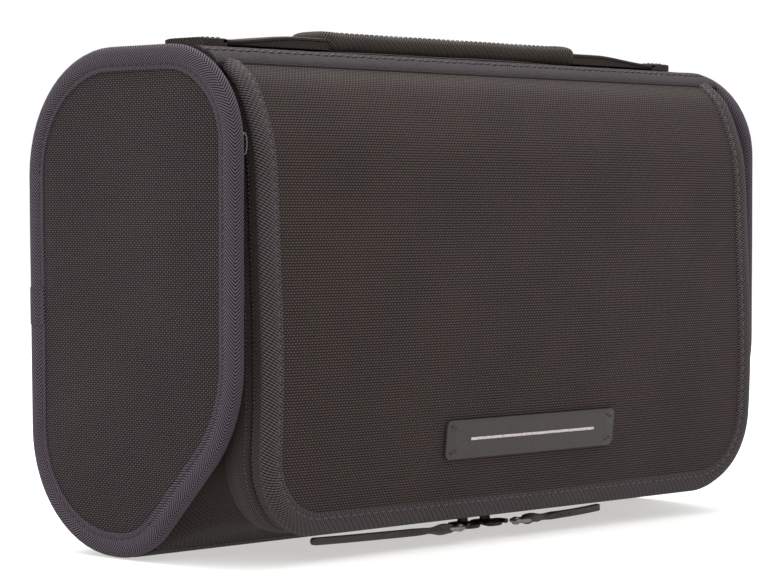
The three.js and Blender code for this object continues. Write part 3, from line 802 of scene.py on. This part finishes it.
def wrap_surface(path, half, lift, sag):
    """A grid over the path; lift moves it outwards, and sag lets it dip and swell between the ends."""
    x = np.linspace(-half, half, WRAP_SIDES)
    share = x / half
    outward = quarter_turn(unit(np.gradient(path, axis=0)))
    rows = []
    for (y, z), (ny, nz) in zip(path, outward):
        top = smoothstep(z, 165, 176) * (1 - share ** 2) * TOP_SWELL
        back = smoothstep(z, 20, 60) * (1 - smoothstep(z, 120, 165)) * (1 - share ** 4) * BACK_SWELL
        loose = smoothstep(z, 2, 14) * (1 - share ** 6) * WRAP_SLACK * ripple(x, z + y, 24)
        move = lift + sag * (top + back + loose)
        lift_front = FRONT_LIFT * (1 - smoothstep(y, BASE_FRONT_Y, BASE_FRONT_Y + 11)) * (z < 30)
        rows.append(points_at(x, y + ny * move, z + nz * move + lift_front))
    return np.array(rows)


def part_of_wrap(path, z_top, z_bottom):
    """The stretch of the path behind the bag between two heights."""
    behind = [i for i, (y, z) in enumerate(path) if z_bottom <= z <= z_top]
    steps = (behind[-1] - behind[0]) // 4 + 2
    return path[np.linspace(behind[0], behind[-1], steps).astype(int)]


def make_wrap():
    path = wrap_path(WRAP_INSET)
    # name, node, upper and lower height, and the rows of the grid that are stitched
    pieces = (
        ("top_cloth", "top_panel", HEIGHT, TOP_BACK_SEAM_Z + 0.2, {"lower": -3}),
        ("back_cloth", "back_panel", TOP_BACK_SEAM_Z - 0.2, BASE_TOP_Z + 0.2, {"upper": 2, "lower": -3}),
        ("base_cloth", "base_panel", BASE_TOP_Z - 0.2, -1, {"upper": 2}),
    )
    for name, node, z_top, z_bottom, seams in pieces:
        run = part_of_wrap(path, z_top, z_bottom)
        outer = wrap_surface(run, INNER_HALF, 0, 1)
        inner = wrap_surface(run, INNER_HALF, -WRAP_THICKNESS, 1)
        Shape().sheet(outer, inner).piece(name, "ballistic", "ballistic", "pod", [node])
        for edge, row in seams.items():
            Shape().stitches(outer[row], outer[row] - inner[row], *WRAP_STITCH).piece(
                f"{name}_seam_{edge}", "dark_thread", "ballistic", "pod",
            )
    run = wrap_path(WRAP_INSET + WRAP_THICKNESS + 2.5)[16:-16:4]
    outer = wrap_surface(run, INNER_HALF - 0.3, 0, 0.6)
    inner = wrap_surface(run, INNER_HALF - 0.3, -0.8, 0.6)
    Shape().sheet(outer, inner).piece("lining_cloth", "lining", "lining", "pod", ["lining"])


make_wrap()

# ---------------- the door's surface


def spline(points, count):
    """Even parameter steps of a uniform Catmull-Rom curve through points."""
    points = np.array(points, float)
    last = len(points) - 1
    made = []
    for share in np.linspace(0, last, count):
        k = min(int(share), last - 1)
        w = share - k
        p0, p1, p2, p3 = (points[min(max(k + step, 0), last)] for step in (-1, 0, 1, 2))
        v0, v1 = (p2 - p0) / 2, (p3 - p1) / 2
        made.append(
            (2 * p1 - 2 * p2 + v0 + v1) * w ** 3 + (-3 * p1 + 3 * p2 - 2 * v0 - v1) * w ** 2 + v0 * w + p1
        )
    return np.array(made)


profile = spline(DOOR_PROFILE, 400)
turned = smoothstep(profile[:, 1], *CURVE_Z)[:, None]
inward = unit((1.0, 0.0) * (1 - turned) + quarter_turn(unit(np.gradient(profile, axis=0))) * turned)
profile_run = running_length(profile, False)


def door_place(x, z, depth):
    """Points behind the door's front surface, for arrays of x, z and depth."""
    z = np.asarray(z, float)
    y, iy, iz = (np.interp(-z, -profile[:, 1], known) for known in (profile[:, 0], *inward.T))
    return points_at(x, y + iy * depth, np.minimum(z, HINGE[1]) + iz * depth)


def door_down(z):
    """Distance down the door's face from the hinge."""
    return np.interp(-np.asarray(z, float), -profile[:, 1], profile_run)


def front_rise(x, z):
    """How far the padded front stands out of the door's surface."""
    across = 1 - np.clip(np.abs(x) / 128, 0, 1) ** 3.2
    upright = np.clip(1 - np.abs((z - 90) / 80), 0, 1) ** 0.6
    return DOOR_CROWN * across * upright + 0.28 * ripple(x, z, 30) * across * upright


def front_surface(x, z, lift=0.0):
    """The padded front's outer face, lifted forward by lift."""
    return door_place(x, z, -front_rise(x, z) - lift)


def door_path(inset, top=HINGE[1], count=260):
    """x and z down the left side of the door, along the bottom and up the right side."""
    half = DOOR_HALF - inset
    bottom = DOOR_BOTTOM_Z + inset
    radius = DOOR_RADIUS - inset
    turns = np.linspace(0, math.pi / 2, 16)
    left = [(radius - half - radius * math.cos(t), bottom + radius - radius * math.sin(t)) for t in turns]
    right = [(-x, z) for x, z in reversed(left)]
    return even(np.array([(-half, top), *left, *right, (half, top)]), count, closed=False)


def door_sweep(section, top=HINGE[1], count=260):
    """A section of (inset, depth) pairs carried round the door's edge."""
    path = door_path(0, top, count)
    inset, depth = np.array(section, float).T
    return np.array([
        door_place(x + nx * inset, z + nz * inset, depth)
        for (x, z), (nx, nz) in zip(path, inward_normals(path, closed=False))
    ])


def door_line(inset, depth, top=HINGE[1], count=260):
    """A line round the door's edge and the way up from its surface there."""
    line = door_sweep([(inset, depth)], top, count)[:, 0]
    under = door_sweep([(inset, depth + 1)], top, count)[:, 0]
    return line, line - under


DOOR_BINDING_SECTION = [
    (8.6, 1.2),
    (8.5, 0.0),
    (7.8, -0.5),
    (6.9, -0.55),
    (6.3, -0.35),
    (5.7, -0.7),
    (4.0, -0.95),
    (2.2, -0.75),
    (0.9, -0.2),
    (0.15, 0.8),
    (0.0, 1.9),
    (0.5, 2.8),
    (2.0, 3.1),
    (5.0, 3.2),
    (8.6, 3.2),
]


def make_door():
    Shape().rings(door_sweep(DOOR_BINDING_SECTION)).piece(
        "door_bound_edge", "door_binding", "binding", "door", ["door_binding"],
    )
    line, ups = door_line(6.3, -0.4)
    Shape().stitches(line, ups, *DOOR_STITCH).piece("door_edge_stitches", "thread", "binding", "door")

    tuck = BINDING_WIDTH - 2.4
    radius = DOOR_RADIUS - tuck
    bottom = DOOR_BOTTOM_Z + tuck
    heights = np.concatenate([
        bottom + radius * (1 - np.cos(np.linspace(0, math.pi / 2, 14))),
        np.linspace(bottom + radius, HINGE[1], 64)[1:],
    ])
    reach = np.clip((heights - bottom) / radius, 0, 1)
    half = DOOR_HALF - tuck - radius + radius * np.sqrt(1 - (1 - reach) ** 2)
    x = half[:, None] * np.sin(np.linspace(-math.pi / 2, math.pi / 2, 72))
    z = np.repeat(heights[:, None], 72, axis=1)
    places = np.stack([x, door_down(z)], axis=-1)
    panel = Shape().sheet(front_surface(x, z, -0.3), door_place(x, z, 3.2), places).piece(
        "door_front", "ballistic", "ballistic", "door", ["door_front_panel"],
    )
    lining = door_place(x * 0.99, z, 4.4 + 0.3 * ripple(x, z, 22))
    Shape().sheet(lining, door_place(x * 0.99, z, 3.6), places).piece(
        "door_lining_cloth", "lining", "lining", "door", ["door_lining"],
    )


LOOP_PLACE = (-138.3, 8.6, 143.5)  # centre of the loop


def make_zip():
    door_tape = [(1.5, 2.9), (1.2, 4.0), (1.1, 5.4), (1.3, 6.8), (1.9, 7.7), (2.9, 7.7), (2.8, 2.9)]
    pod_tape = [
        (2.0, 8.8), (1.2, 9.6), (0.5, 11.4), (0.2, 14.0), (0.5, 17.2), (1.6, 20.3), (2.9, 20.3), (2.9, 8.8),
    ]
    for body, section, top in (("door", door_tape, 169.5), ("pod", pod_tape, 163.5)):
        Shape().rings(door_sweep(section, top)).piece(
            f"{body}_tape", "zip_tape", "zip_tape", body, [f"{body}_zip_tape"],
        )
    for body, depth, top in (("door", 7.3, 166), ("pod", 9.4, 164.5)):
        line, ups = door_line(3.3, depth, top)
        outward, _ = door_line(2.3, depth, top)
        Shape().stitches(line, outward - line, *ZIP_COIL, across=ups).piece(
            f"{body}_coil", "coil", "coil", body, [f"{body}_zip_coil"],
        )
    for body, inset, depth, top in (("door", 1.3, 6.7, 169), ("pod", 0.95, 10.1, 163)):
        line, _ = door_line(inset, depth, top)
        outward, _ = door_line(inset - 1, depth, top)
        Shape().stitches(line, outward - line, *TAPE_STITCH, lift=0.7).piece(
            f"{body}_tape_stitches", "thread", "zip_tape", body,
        )


def make_end_loop():
    """The small loop of cord that closes the zip's upper end on the left."""
    turn = np.linspace(0, 2 * math.pi, 28)
    line = LOOP_PLACE + points_at(0.7 * np.cos(turn), -0.5 * np.cos(turn), 3.6 * np.sin(turn))
    Shape().tube(line, 0.26, sides=8).piece("zip_end_loop", "loop", "zip_tape", "pod")


make_door()
make_zip()
make_end_loop()

# ---------------- gusset between zip and ends

GUSSET_INSET = 1.6
GUSSET_TOP_Z = 158
GUSSET_SIDE_Y = 27
GUSSET_FRONT_DEPTH = 20.3
GUSSET_THICKNESS = 1.4
GUSSET_TURN = 0.6  # share of the door's corner over which the seam comes down to the base
GUSSET_BACK = (BASE_FRONT_Y + 0.4, FRONT_LIFT + 0.6)  # y and z of its seam with the base


def make_gusset():
    path = door_path(GUSSET_INSET, GUSSET_TOP_Z, 170)
    centre_x = DOOR_HALF - DOOR_RADIUS
    centre_z = DOOR_BOTTOM_Z + DOOR_RADIUS
    back_y, back_z = GUSSET_BACK
    shares = np.linspace(0, 1, 9)[:, None]
    grid = []
    for x, z in path:
        side = -1 if x < 0 else 1
        below = z < centre_z
        # how far round the door's corner, 0 at the side and 1 at the bottom
        turn = math.atan2(centre_z - z, max(abs(x) - centre_x, 1e-6)) / (math.pi / 2) if below else 0.0
        down = min(turn / GUSSET_TURN, 1)
        inwards = max((turn - GUSSET_TURN) / (1 - GUSSET_TURN), 0)
        if abs(x) < centre_x:
            back = np.array([x * (centre_x + 8) / centre_x, back_y, back_z])
        else:
            back = np.array([
                side * (INNER_HALF + 1.2 + (centre_x + 6.8 - INNER_HALF) * inwards),
                GUSSET_SIDE_Y + (back_y - GUSSET_SIDE_Y) * down,
                centre_z + (back_z - centre_z) * down if below else z,
            ])
        front = door_place(x, z, GUSSET_FRONT_DEPTH)
        length = np.linalg.norm(back - front)
        fold = np.array([-side * 0.5 * (abs(x) > centre_x), 0.2, 0.8 if z < centre_z + 10 else 0.0])
        crease = 0.09 * min(length, 22) * np.clip(np.sin(shares * math.pi), 0, 1) ** 0.8
        grid.append(front * (1 - shares) + back * shares + fold * crease)
    grid = np.array(grid)
    normal = np.cross(np.gradient(grid, axis=1), np.gradient(grid, axis=0))
    normal /= np.linalg.norm(normal, axis=2)[..., None]
    facing = np.sign(np.sum(normal * (BAG_MIDDLE - grid), axis=2))[..., None]
    inner = grid + normal * facing * GUSSET_THICKNESS
    Shape().sheet(grid, inner).piece("gusset_cloth", "gusset", "ballistic", "pod", ["pod_gusset"])


make_gusset()

# ---------------- hinge strip


def strip_point(angle, radius):
    return (STRIP_CENTRE[0] + radius * math.cos(angle), STRIP_CENTRE[1] + radius * math.sin(angle))


def make_hinge_strip():
    first = math.atan2(HINGE[1] - STRIP_CENTRE[1], HINGE[0] - STRIP_CENTRE[0]) + 1.6 / STRIP_RADIUS
    last = math.acos((STRIP_BACK_Y + 0.4 - STRIP_CENTRE[0]) / STRIP_RADIUS)
    x = np.linspace(-INNER_HALF, INNER_HALF, 90)

    def layer(radius, swell):
        rows = []
        for share in np.linspace(0, 1, 16):
            arch = math.sin(share * math.pi)
            bump = 0.85 * max(arch, 0) ** 0.7 - 0.6 * hump(share, 0.53, 0.07)
            wave = 0.12 * np.sin(x / 2.1) * arch
            reach = radius + swell * (bump + wave - 0.4 * smoothstep(1 - share, 0.9, 1.0))
            rows.append(points_at(x, *strip_point(first + share * (last - first), reach)))
        return np.array(rows)

    outer = layer(STRIP_RADIUS + 0.4, 1.0)
    inner = layer(STRIP_RADIUS - 1.6, 0.0)
    low = Vector(metres([0, *strip_point(first, STRIP_RADIUS)]))
    high = Vector(metres([0, *strip_point(last + 0.12, STRIP_RADIUS)]))
    strip = Shape().sheet(outer, inner).piece(
        "hinge_fold", "strip", "binding", replaces=["hinge_strip"],
    )
    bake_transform(strip)
    seam = Shape().stitches(outer[8], outer[8] - inner[8], *HINGE_STITCH, lift=0.9).piece(
        "hinge_stitches", "black_thread", "binding",
    )
    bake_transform(seam)


make_hinge_strip()

# ---------------- handle

STRAP_END_TOP = 180.6
STRAP_TOP = 183.0
STRAP_CLOTH = 1.7
STRAP_UNDERSIDE = 178.7  # the folded-back layer lies almost on the top panel


def strap_height(x):
    """Height of the strap's upper face at a distance from the middle."""
    return STRAP_END_TOP + (STRAP_TOP - STRAP_END_TOP) * (1 - smoothstep(abs(x), 84, STRAP_JOIN_X))


def make_strap(label, side):
    y = np.linspace(HANDLE_Y - STRAP_WIDTH / 2, HANDLE_Y + STRAP_WIDTH / 2, 14)
    edge = np.abs((y - HANDLE_Y) / (STRAP_WIDTH / 2)) ** 8

    def layers(x0, x1, count, rise, cloth_depth):
        upper = []
        lower = []
        for x in np.linspace(x0, x1, count):
            top = strap_height(x) + rise
            upper.append(points_at(side * x, y, top - 0.5 * edge))
            lower.append(points_at(side * x, y, top - cloth_depth + 0.4 * edge))
        return np.array(upper), np.array(lower)

    upper, lower = layers(GRIP_HALF - 6, STRAP_JOIN_X + 2, 40, 0, STRAP_CLOTH)
    # the same strap folded back under itself, a little narrower
    fold_top = lower * (1, 0.97, 1) - (0, -0.03 * HANDLE_Y, 0.25)
    fold_under = fold_top * (1, 1, 0) + (0, 0, STRAP_UNDERSIDE)
    strap = Shape().sheet(upper, lower).sheet(fold_top, fold_under).piece(
        f"strap_{label}", "webbing", "webbing", replaces=[f"handle_strap_{label}"],
    )
    near = metres([side * (STRAP_JOIN_X - 4), HANDLE_Y, HANDLE_BOTTOM_Z])
    far = metres([side * (GRIP_HALF + 6), HANDLE_Y, HANDLE_BOTTOM_Z])
    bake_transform(strap)
    upper, lower = layers(STRAP_JOIN_X + 0.2, STRAP_END_X + 1, 12, 0.3, STRAP_CLOTH + 1.6)
    Shape().sheet(upper, lower).piece(
        f"strap_foot_{label}", "webbing", "webbing", "pod", [f"strap_end_{label}"],
    )
    shape = Shape()
    x0, x1 = STRAP_JOIN_X + 1.5, STRAP_END_X - 1
    a, b, c, d = [(x0, -8), (x1, -8), (x1, 8), (x0, 8)]
    for start, end in ((a, b), (b, c), (c, d), (d, a), (a, c), (b, d)):
        x, across = np.linspace(start, end, 12).T
        line = points_at(side * x, HANDLE_Y + across, STRAP_END_TOP + 0.3)
        shape.stitches(line, (0, 0, 1), *BOX_STITCH)
    shape.piece(f"box_stitch_{label}", "thread", "webbing", "pod")


def make_grip():
    x = np.concatenate([
        -GRIP_HALF + GRIP_NOSE * (1 - np.cos(np.linspace(0, math.pi / 2, 7))),
        np.linspace(-GRIP_HALF + GRIP_NOSE, GRIP_HALF - GRIP_NOSE, 90)[1:-1],
        GRIP_HALF - GRIP_NOSE + GRIP_NOSE * np.sin(np.linspace(0, math.pi / 2, 7)),
    ])
    turns = circle(28)
    wide, high = squarish(turns, 0.62)
    middle_z = HANDLE_BOTTOM_Z + GRIP_HEIGHT / 2
    rings = []
    for at in x:
        from_end = GRIP_HALF - abs(at)
        cap = math.sqrt(max(0.0, 1 - (1 - min(from_end / GRIP_NOSE, 1)) ** 2)) * 0.62 + 0.38
        bulge = 0.9 + 0.1 * hump(from_end, 5.5, 6)
        size = bulge * cap * (1 + 0.012 * np.sin(at / 5.3 + 2 * turns))
        y = HANDLE_Y + wide * GRIP_WIDTH / 2 * size
        rings.append(points_at(at, y, middle_z + high * GRIP_HEIGHT / 2 * size))
    grip = Shape().rings(rings).piece(
        "grip_sleeve", "grip", "webbing", "handle", ["handle_grip"],
    )
    seam = points_at(x[8:-8], HANDLE_Y - GRIP_WIDTH * 0.36, HANDLE_BOTTOM_Z + GRIP_HEIGHT * 0.915)
    Shape().stitches(seam, (0, -0.6, 0.8), *GRIP_STITCH).piece(
        "grip_stitches", "dark_thread", "webbing", "handle",
    )


for label, side in SIDES:
    make_strap(label, side)
make_grip()

# ---------------- badge


def make_badge():
    length, height, middle = BADGE
    u = np.sin(np.linspace(-math.pi / 2, math.pi / 2, 60)) * length / 2
    v = np.sin(np.linspace(-math.pi / 2, math.pi / 2, 14)) * height / 2
    u, v = np.meshgrid(u, v)
    # corners rounded by drawing the ends of each row in
    over = np.clip(np.abs(v) - (height / 2 - BADGE_CORNER), 0, BADGE_CORNER)
    limit = length / 2 - BADGE_CORNER + np.sqrt(np.maximum(BADGE_CORNER ** 2 - over ** 2, 0))
    u = u * limit / (length / 2)
    edge = np.maximum(np.abs(u) / (length / 2), np.abs(v) / (height / 2))
    u = u + BADGE_X
    outer = front_surface(u, middle + v, 1.35)
    outer[..., 1] += 0.35 * smoothstep(edge, 0.9, 1.0)
    Shape().sheet(outer, front_surface(u, middle + v, 0.05)).piece(
        "badge_leather", "leather", "leather", "door", ["badge_patch"],
    )
    u, v = np.meshgrid(BADGE_X + np.linspace(-BADGE_LINE / 2, BADGE_LINE / 2, 40), (-0.5, -0.3, 0.3, 0.5))
    lift = np.where(np.abs(v) < 0.4, 1.55, 1.45)
    Shape().sheet(front_surface(u, middle + v, lift), front_surface(u, middle + v, 1.2)).piece(
        "badge_inlay", "inlay", "inlay", "door", ["badge_line"],
    )
    shape = Shape()
    for sx, sz, slant in itertools.product((-1, 1), repeat=3):
        across = BADGE_X + sx * (length / 2 - 3.6) + slant * 0.9 + np.linspace(-0.4, 0.4, 4)
        line = front_surface(across, middle + sz * (4.4 - slant * 0.4), 1.3)
        shape.stitches(line, (0, -1, 0), *BADGE_STITCH)
    shape.piece("badge_stitches", "black_thread", "leather", "door")


make_badge()

# ---------------- sliders, bails and pulls


def make_slider(label, side):
    middle = ZIP_MEET_X + side * SLIDER_OFFSET
    y0, y1 = SLIDER_Y
    z0, z1 = SLIDER_Z
    shape = Shape()
    for low, high in ((z0, z0 + SLIDER_PLATE), (z1 - SLIDER_PLATE, z1)):
        shape.block((middle - SLIDER_HALF, y0, low), (middle + SLIDER_HALF, y1, high), 0.55)
    middle_y = (y0 + y1) / 2
    shape.block((middle - 2.4, middle_y - 1.2, z0 + 1), (middle + 2.4, middle_y + 1.2, z1 - 1), 0.8)
    bridge = [(-4.2, 1.2, 0.8), (-3.6, -0.6, 0.5), (-2, -1.4, 0.4)]
    bridge += [(-x, y, z) for x, y, z in reversed(bridge)]
    shape.tube(spline(np.array(bridge) + (middle, y0, z0), 26), 0.75, flat=1.2)
    lug = [
        (middle + side * 2.0, y0 + 1.4, 6.0),
        (middle + side * 4.1, y0 + 0.4, 6.0),
        (middle + side * 4.4, PULL_Y, 6.0),
    ]
    shape.tube(spline(lug, 10), 1.0, flat=0.9)
    shape.piece(f"slider_{label}", "slider_metal", "metal", f"{label}_slider", [f"zip_slider_{label}"])


def make_bail(label, side):
    pivot_x = ZIP_MEET_X + side * PIVOT_OFFSET
    c, s = squarish(np.linspace(0, 2 * math.pi, 40), 0.7)
    line = points_at(pivot_x + side * (2.8 + 3.7 * c), PULL_Y + 2.6 * s, 5.6)
    pin = [(pivot_x, PULL_Y - 0.1, z) for z in (4.2, 4.5, 5.6, 6.7, 7.0)]
    shape = Shape().tube(line, 0.75, sides=8, flat=1.1)
    shape.tube(pin, [0.9, 1.4, 1.5, 1.4, 0.9], sides=14, up=(1, 0, 0))
    shape.piece(f"pull_ring_{label}", "metal", "metal", f"{label}_pull", [f"bail_{label}"])


def make_pull(label, side):
    """A leather strip folded through the ring, its two layers lying together, with a slight twist."""
    length = PULL_LENGTHS[label] + PULL_FOLD
    start = ZIP_MEET_X + side * (PULL_OFFSET - PULL_FOLD)
    twist = 1.5 if label == "right" else 0.5
    turns = circle(24)
    groove = 1 - 0.3 * hump(np.sin(turns), 0, 0.22)  # between the two layers of leather
    across = squarish(turns, 0.4)[0] * groove
    upright = squarish(turns, 0.5)[1]
    rings = []
    for s in np.linspace(0, length, 80):
        share = s / length
        turn = side * twist * hump(s, 9, 7)
        thick = 1.15 + 0.7 * hump(s, 6, 4)
        tall = 1.35 + 0.55 * hump(s, 5, 4) - 0.35 * hump(s, 12, 3)
        tip = math.sqrt(max(1 - max((share - 0.97) / 0.03, 0) ** 2, 0.04))
        lead = math.sqrt(max(1 - max((1.6 - s) / 1.6, 0) ** 2, 0.05))
        a = across * thick * tip * lead
        b = upright * tall * tip * lead
        sway = 0.45 * math.sin(share * 5.0 + side)
        y = PULL_Y + a * math.cos(turn) - b * math.sin(turn) + sway
        z = PULL_BOTTOM_Z + 2.3 + 1.3 * share ** 2 + a * math.sin(turn) + b * math.cos(turn)
        rings.append(points_at(start + side * s, y, z))
    Shape().rings(rings).piece(
        f"pull_strap_{label}", "pull_leather", "leather", f"{label}_pull", [f"pull_{label}"],
    )
    line = points_at(start + side * np.linspace(16, 28, 8), PULL_Y - 1.35, 5.9)
    Shape().stitches(line, (0, -1, 0), *PULL_STITCH).piece(
        f"pull_stitches_{label}", "dark_thread", "leather", f"{label}_pull",
    )


for label, side in SIDES:
    make_slider(label, side)
    make_bail(label, side)
    make_pull(label, side)

# ---------------- inside: pockets


def node_span(node):
    """A node's box in bag millimetres: low and high corners."""
    low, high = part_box(node)
    shift = Vector((0, FRONT_Y, 0))
    return np.array((low - shift) / MM), np.array((high - shift) / MM)


def make_back_pocket():
    low, high = node_span("back_pocket")
    x, z = np.meshgrid(np.linspace(low[0], high[0], 70), np.linspace(low[2], high[2], 24))
    share = (z - low[2]) / (high[2] - low[2])
    lean = (high[1] - low[1] - 1) * share
    belly = 3.0 * np.sin(share * math.pi * 0.75) * (1 - (x / high[0]) ** 6)
    gather = 0.5 * np.sin(x / 3.4) * smoothstep(z, low[2] + 30, high[2])
    outer = points_at(x, low[1] + 0.5 + lean - belly - gather, z)
    pocket = Shape().sheet(outer, outer + (0, 0.7, 0)).piece(
        "back_mesh", "mesh", "mesh", "pod", ["back_pocket"],
    )
    low, high = node_span("back_pocket_elastic")
    x = np.linspace(low[0], high[0], 120)
    y = (low[1] + high[1]) / 2 - 1.8 * (1 - (x / high[0]) ** 6)
    line = points_at(x, y, (low[2] + high[2]) / 2)
    Shape().tube(line, 3.0, sides=14, flat=0.42, up=(0, 1, 0)).piece(
        "back_elastic", "webbing", "webbing", "pod", ["back_pocket_elastic"],
    )


def make_door_pocket():
    low, high = node_span("door_pocket")
    half = high[0]
    x, z = np.meshgrid(np.linspace(-half, half, 70), np.linspace(low[2] + 0.3, high[2] - 0.3, 22))
    belly = 2.2 * np.sin((z - low[2]) / (high[2] - low[2]) * math.pi) * (1 - (x / half) ** 6)
    pocket = Shape().sheet(door_place(x, z, 5.4 + belly), door_place(x, z, 6.1 + belly)).piece(
        "door_mesh", "mesh", "mesh", "door", ["door_pocket"],
    )
    for name, node, material, depth in (
        ("door_pocket_edge", "door_pocket_binding", "binding", 6.6),
        ("door_pocket_tape", "door_pocket_zip", "zip_tape", 6.8),
    ):
        low, high = node_span(node)
        z0, z1 = low[2] + 0.2, high[2] - 0.2
        x, z = np.meshgrid(np.linspace(-half, half, 60), np.linspace(z0, z1, 7))
        rise = 0.5 * np.sin((z - z0) / (z1 - z0) * math.pi)
        Shape().sheet(door_place(x, z, depth + rise), door_place(x, z, 4.9)).piece(
            name, material, material, "door", [node],
        )
    x = np.linspace(-half + 2, half - 2, 80)
    middle_z = (low[2] + high[2]) / 2
    line = door_place(x, middle_z, 7.5)
    ups = door_place(x, middle_z, 8.5) - line
    Shape().stitches(line, ups, *POCKET_COIL, across=(0, 0, 1)).piece(
        "door_pocket_coil", "coil", "coil", "door",
    )
    low, high = node_span("door_pocket_slider")
    shape = Shape().block(low + (0.2, 0.2, 0.4), high - (0.2, 0.8, 0.4), 0.6)
    grip_line = points_at(low[0] + 3 + np.linspace(0, 12, 12), high[1] - 0.2, (low[2] + high[2]) / 2)
    shape.tube(grip_line, [1.0, 1.5, 1.6, 1.5, 1.4, 1.4, 1.4, 1.5, 1.7, 1.8, 1.7, 1.1], flat=0.45)
    shape.piece("pocket_slider_body", "metal", "metal", "pocket_slider", ["door_pocket_slider"])


make_back_pocket()
make_door_pocket()

# ---------------- inside: hook

HOOK_CHANNEL_Y = 15.4  # the tab is pressed in down its middle, where the folded hook's shank passes


def make_hook():
    angles = np.linspace(math.radians(232), math.radians(-25), 10)
    shank = [(0, HOOK_Y, HOOK_FOLD_Z + 5.3), (0, HOOK_Y, HOOK_FOLD_Z + 16)]
    bend = points_at(HOOK_RADIUS * np.cos(angles), HOOK_Y, HOOK_CENTRE_Z + HOOK_RADIUS * np.sin(angles))
    radii = np.full(120, HOOK_WIRE / 2)
    radii[-6:] *= (1.0, 1.02, 1.0, 0.92, 0.75, 0.45)
    radii[:5] *= 0.9
    shape = Shape().tube(spline([*shank, *bend], 120), radii, sides=18, up=(0, 1, 0))
    collar = [(0, HOOK_Y, HOOK_FOLD_Z + z) for z in (5.4, 5.9, 7.4, 8.0)]
    shape.tube(collar, [2.6, 3.4, 3.4, 2.6], sides=20, up=(1, 0, 0))
    shape.piece("hook_wire", "plastic", "plastic", "hook_arm", ["hook"])
    low, high = node_span("hook_base")
    foot_x, foot_y, foot_z = HOOK_FOOT
    wide, tall = squarish(circle(32), 0.5)
    rings = []
    for level in np.linspace(-1, 1, 9):
        shrink = 1 - 0.16 * abs(level) ** 5
        z = (low[2] + high[2]) / 2 + foot_z * shrink * tall
        rings.append(points_at(foot_x * shrink * wide, HOOK_Y + foot_y * level, z))
    shape = Shape().rings(rings)
    for x in (-6, 6):
        stud = [(x, y, HOOK_FOLD_Z) for y in (high[1] - 0.6, high[1] - 0.1, high[1] + 0.2)]
        shape.tube(stud, [1.7, 1.6, 1.0], sides=14, up=(1, 0, 0))
    shape.piece("hook_foot_plate", "plastic", "plastic", "hook_foot", ["hook_base"])
    low, high = node_span("hook_tab")
    x, z = np.meshgrid(np.linspace(low[0], high[0], 60), np.linspace(low[2], high[2], 12))
    channel = (high[1] - HOOK_CHANNEL_Y) * (1 - smoothstep(np.abs(x), 3.8, 4.4))
    back_y = high[1] - 0.2 - 0.4 * np.abs(x / high[0]) ** 6 - channel
    Shape().sheet(points_at(x, back_y, z), points_at(x, low[1] + 0.1, z)).piece(
        "hook_tab_cloth", "webbing", "webbing", "door", ["hook_tab"],
    )


make_hook()

for node in ("back_board", "base_board"):
    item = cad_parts[node]
    item.data.materials.clear()
    item.data.materials.append(MATERIALS["board"])

# ---------------- floor and light


FLOOR_REACH = 6.0
FLOOR_COLOUR = (0.42, 0.42, 0.415, 1)
FLOOR_GLOW_COLOUR = (1.0, 0.99, 0.965, 1)
FLOOR_GLOW = 0.54  # light of the floor's own, so that it reads as a white ground
LIGHTS = (  # name, place, size and power
    ("key", (0.15, 0.55, 1.6), 2.2, 60),
    ("front", (-0.4, -0.9, 1.7), 1.6, 15),
    ("side", (-1.5, 0.3, 1.0), 1.0, 4),
)


def make_studio():
    low, high = cad_box
    floor_mesh = bpy.data.meshes.new("floor")
    corners = [(-FLOOR_REACH, -FLOOR_REACH, 0), (FLOOR_REACH, -FLOOR_REACH, 0)]
    corners += [(-x, -y, 0) for x, y, _ in corners]
    floor_mesh.from_pydata(corners, [], [(0, 1, 2, 3)])
    floor = bpy.data.objects.new("floor", floor_mesh)
    floor.location.z = low.z - 0.0004
    g = Graph("floor")
    g.set("Base Color", FLOOR_COLOUR)
    g.set("Emission Color", FLOOR_GLOW_COLOUR)
    g.set("Emission Strength", FLOOR_GLOW)
    g.set("Roughness", 0.7)
    floor_mesh.materials.append(g.material)
    bpy.context.collection.objects.link(floor)
    world = bpy.data.worlds.new("studio")
    world.use_nodes = True
    background = world.node_tree.nodes["Background"]
    background.inputs[0].default_value = (1, 1, 1, 1)
    background.inputs[1].default_value = 1.0
    bpy.context.scene.world = world
    bpy.context.scene.view_settings.view_transform = "Standard"
    for name, place, size, power in LIGHTS:
        data = bpy.data.lights.new(name, "AREA")
        data.size = size
        data.energy = power
        lamp = bpy.data.objects.new(name, data)
        lamp.location = place
        lamp.rotation_euler = ((low + high) / 2 - Vector(place)).to_track_quat("-Z", "Y").to_euler()
        bpy.context.collection.objects.link(lamp)


make_studio()
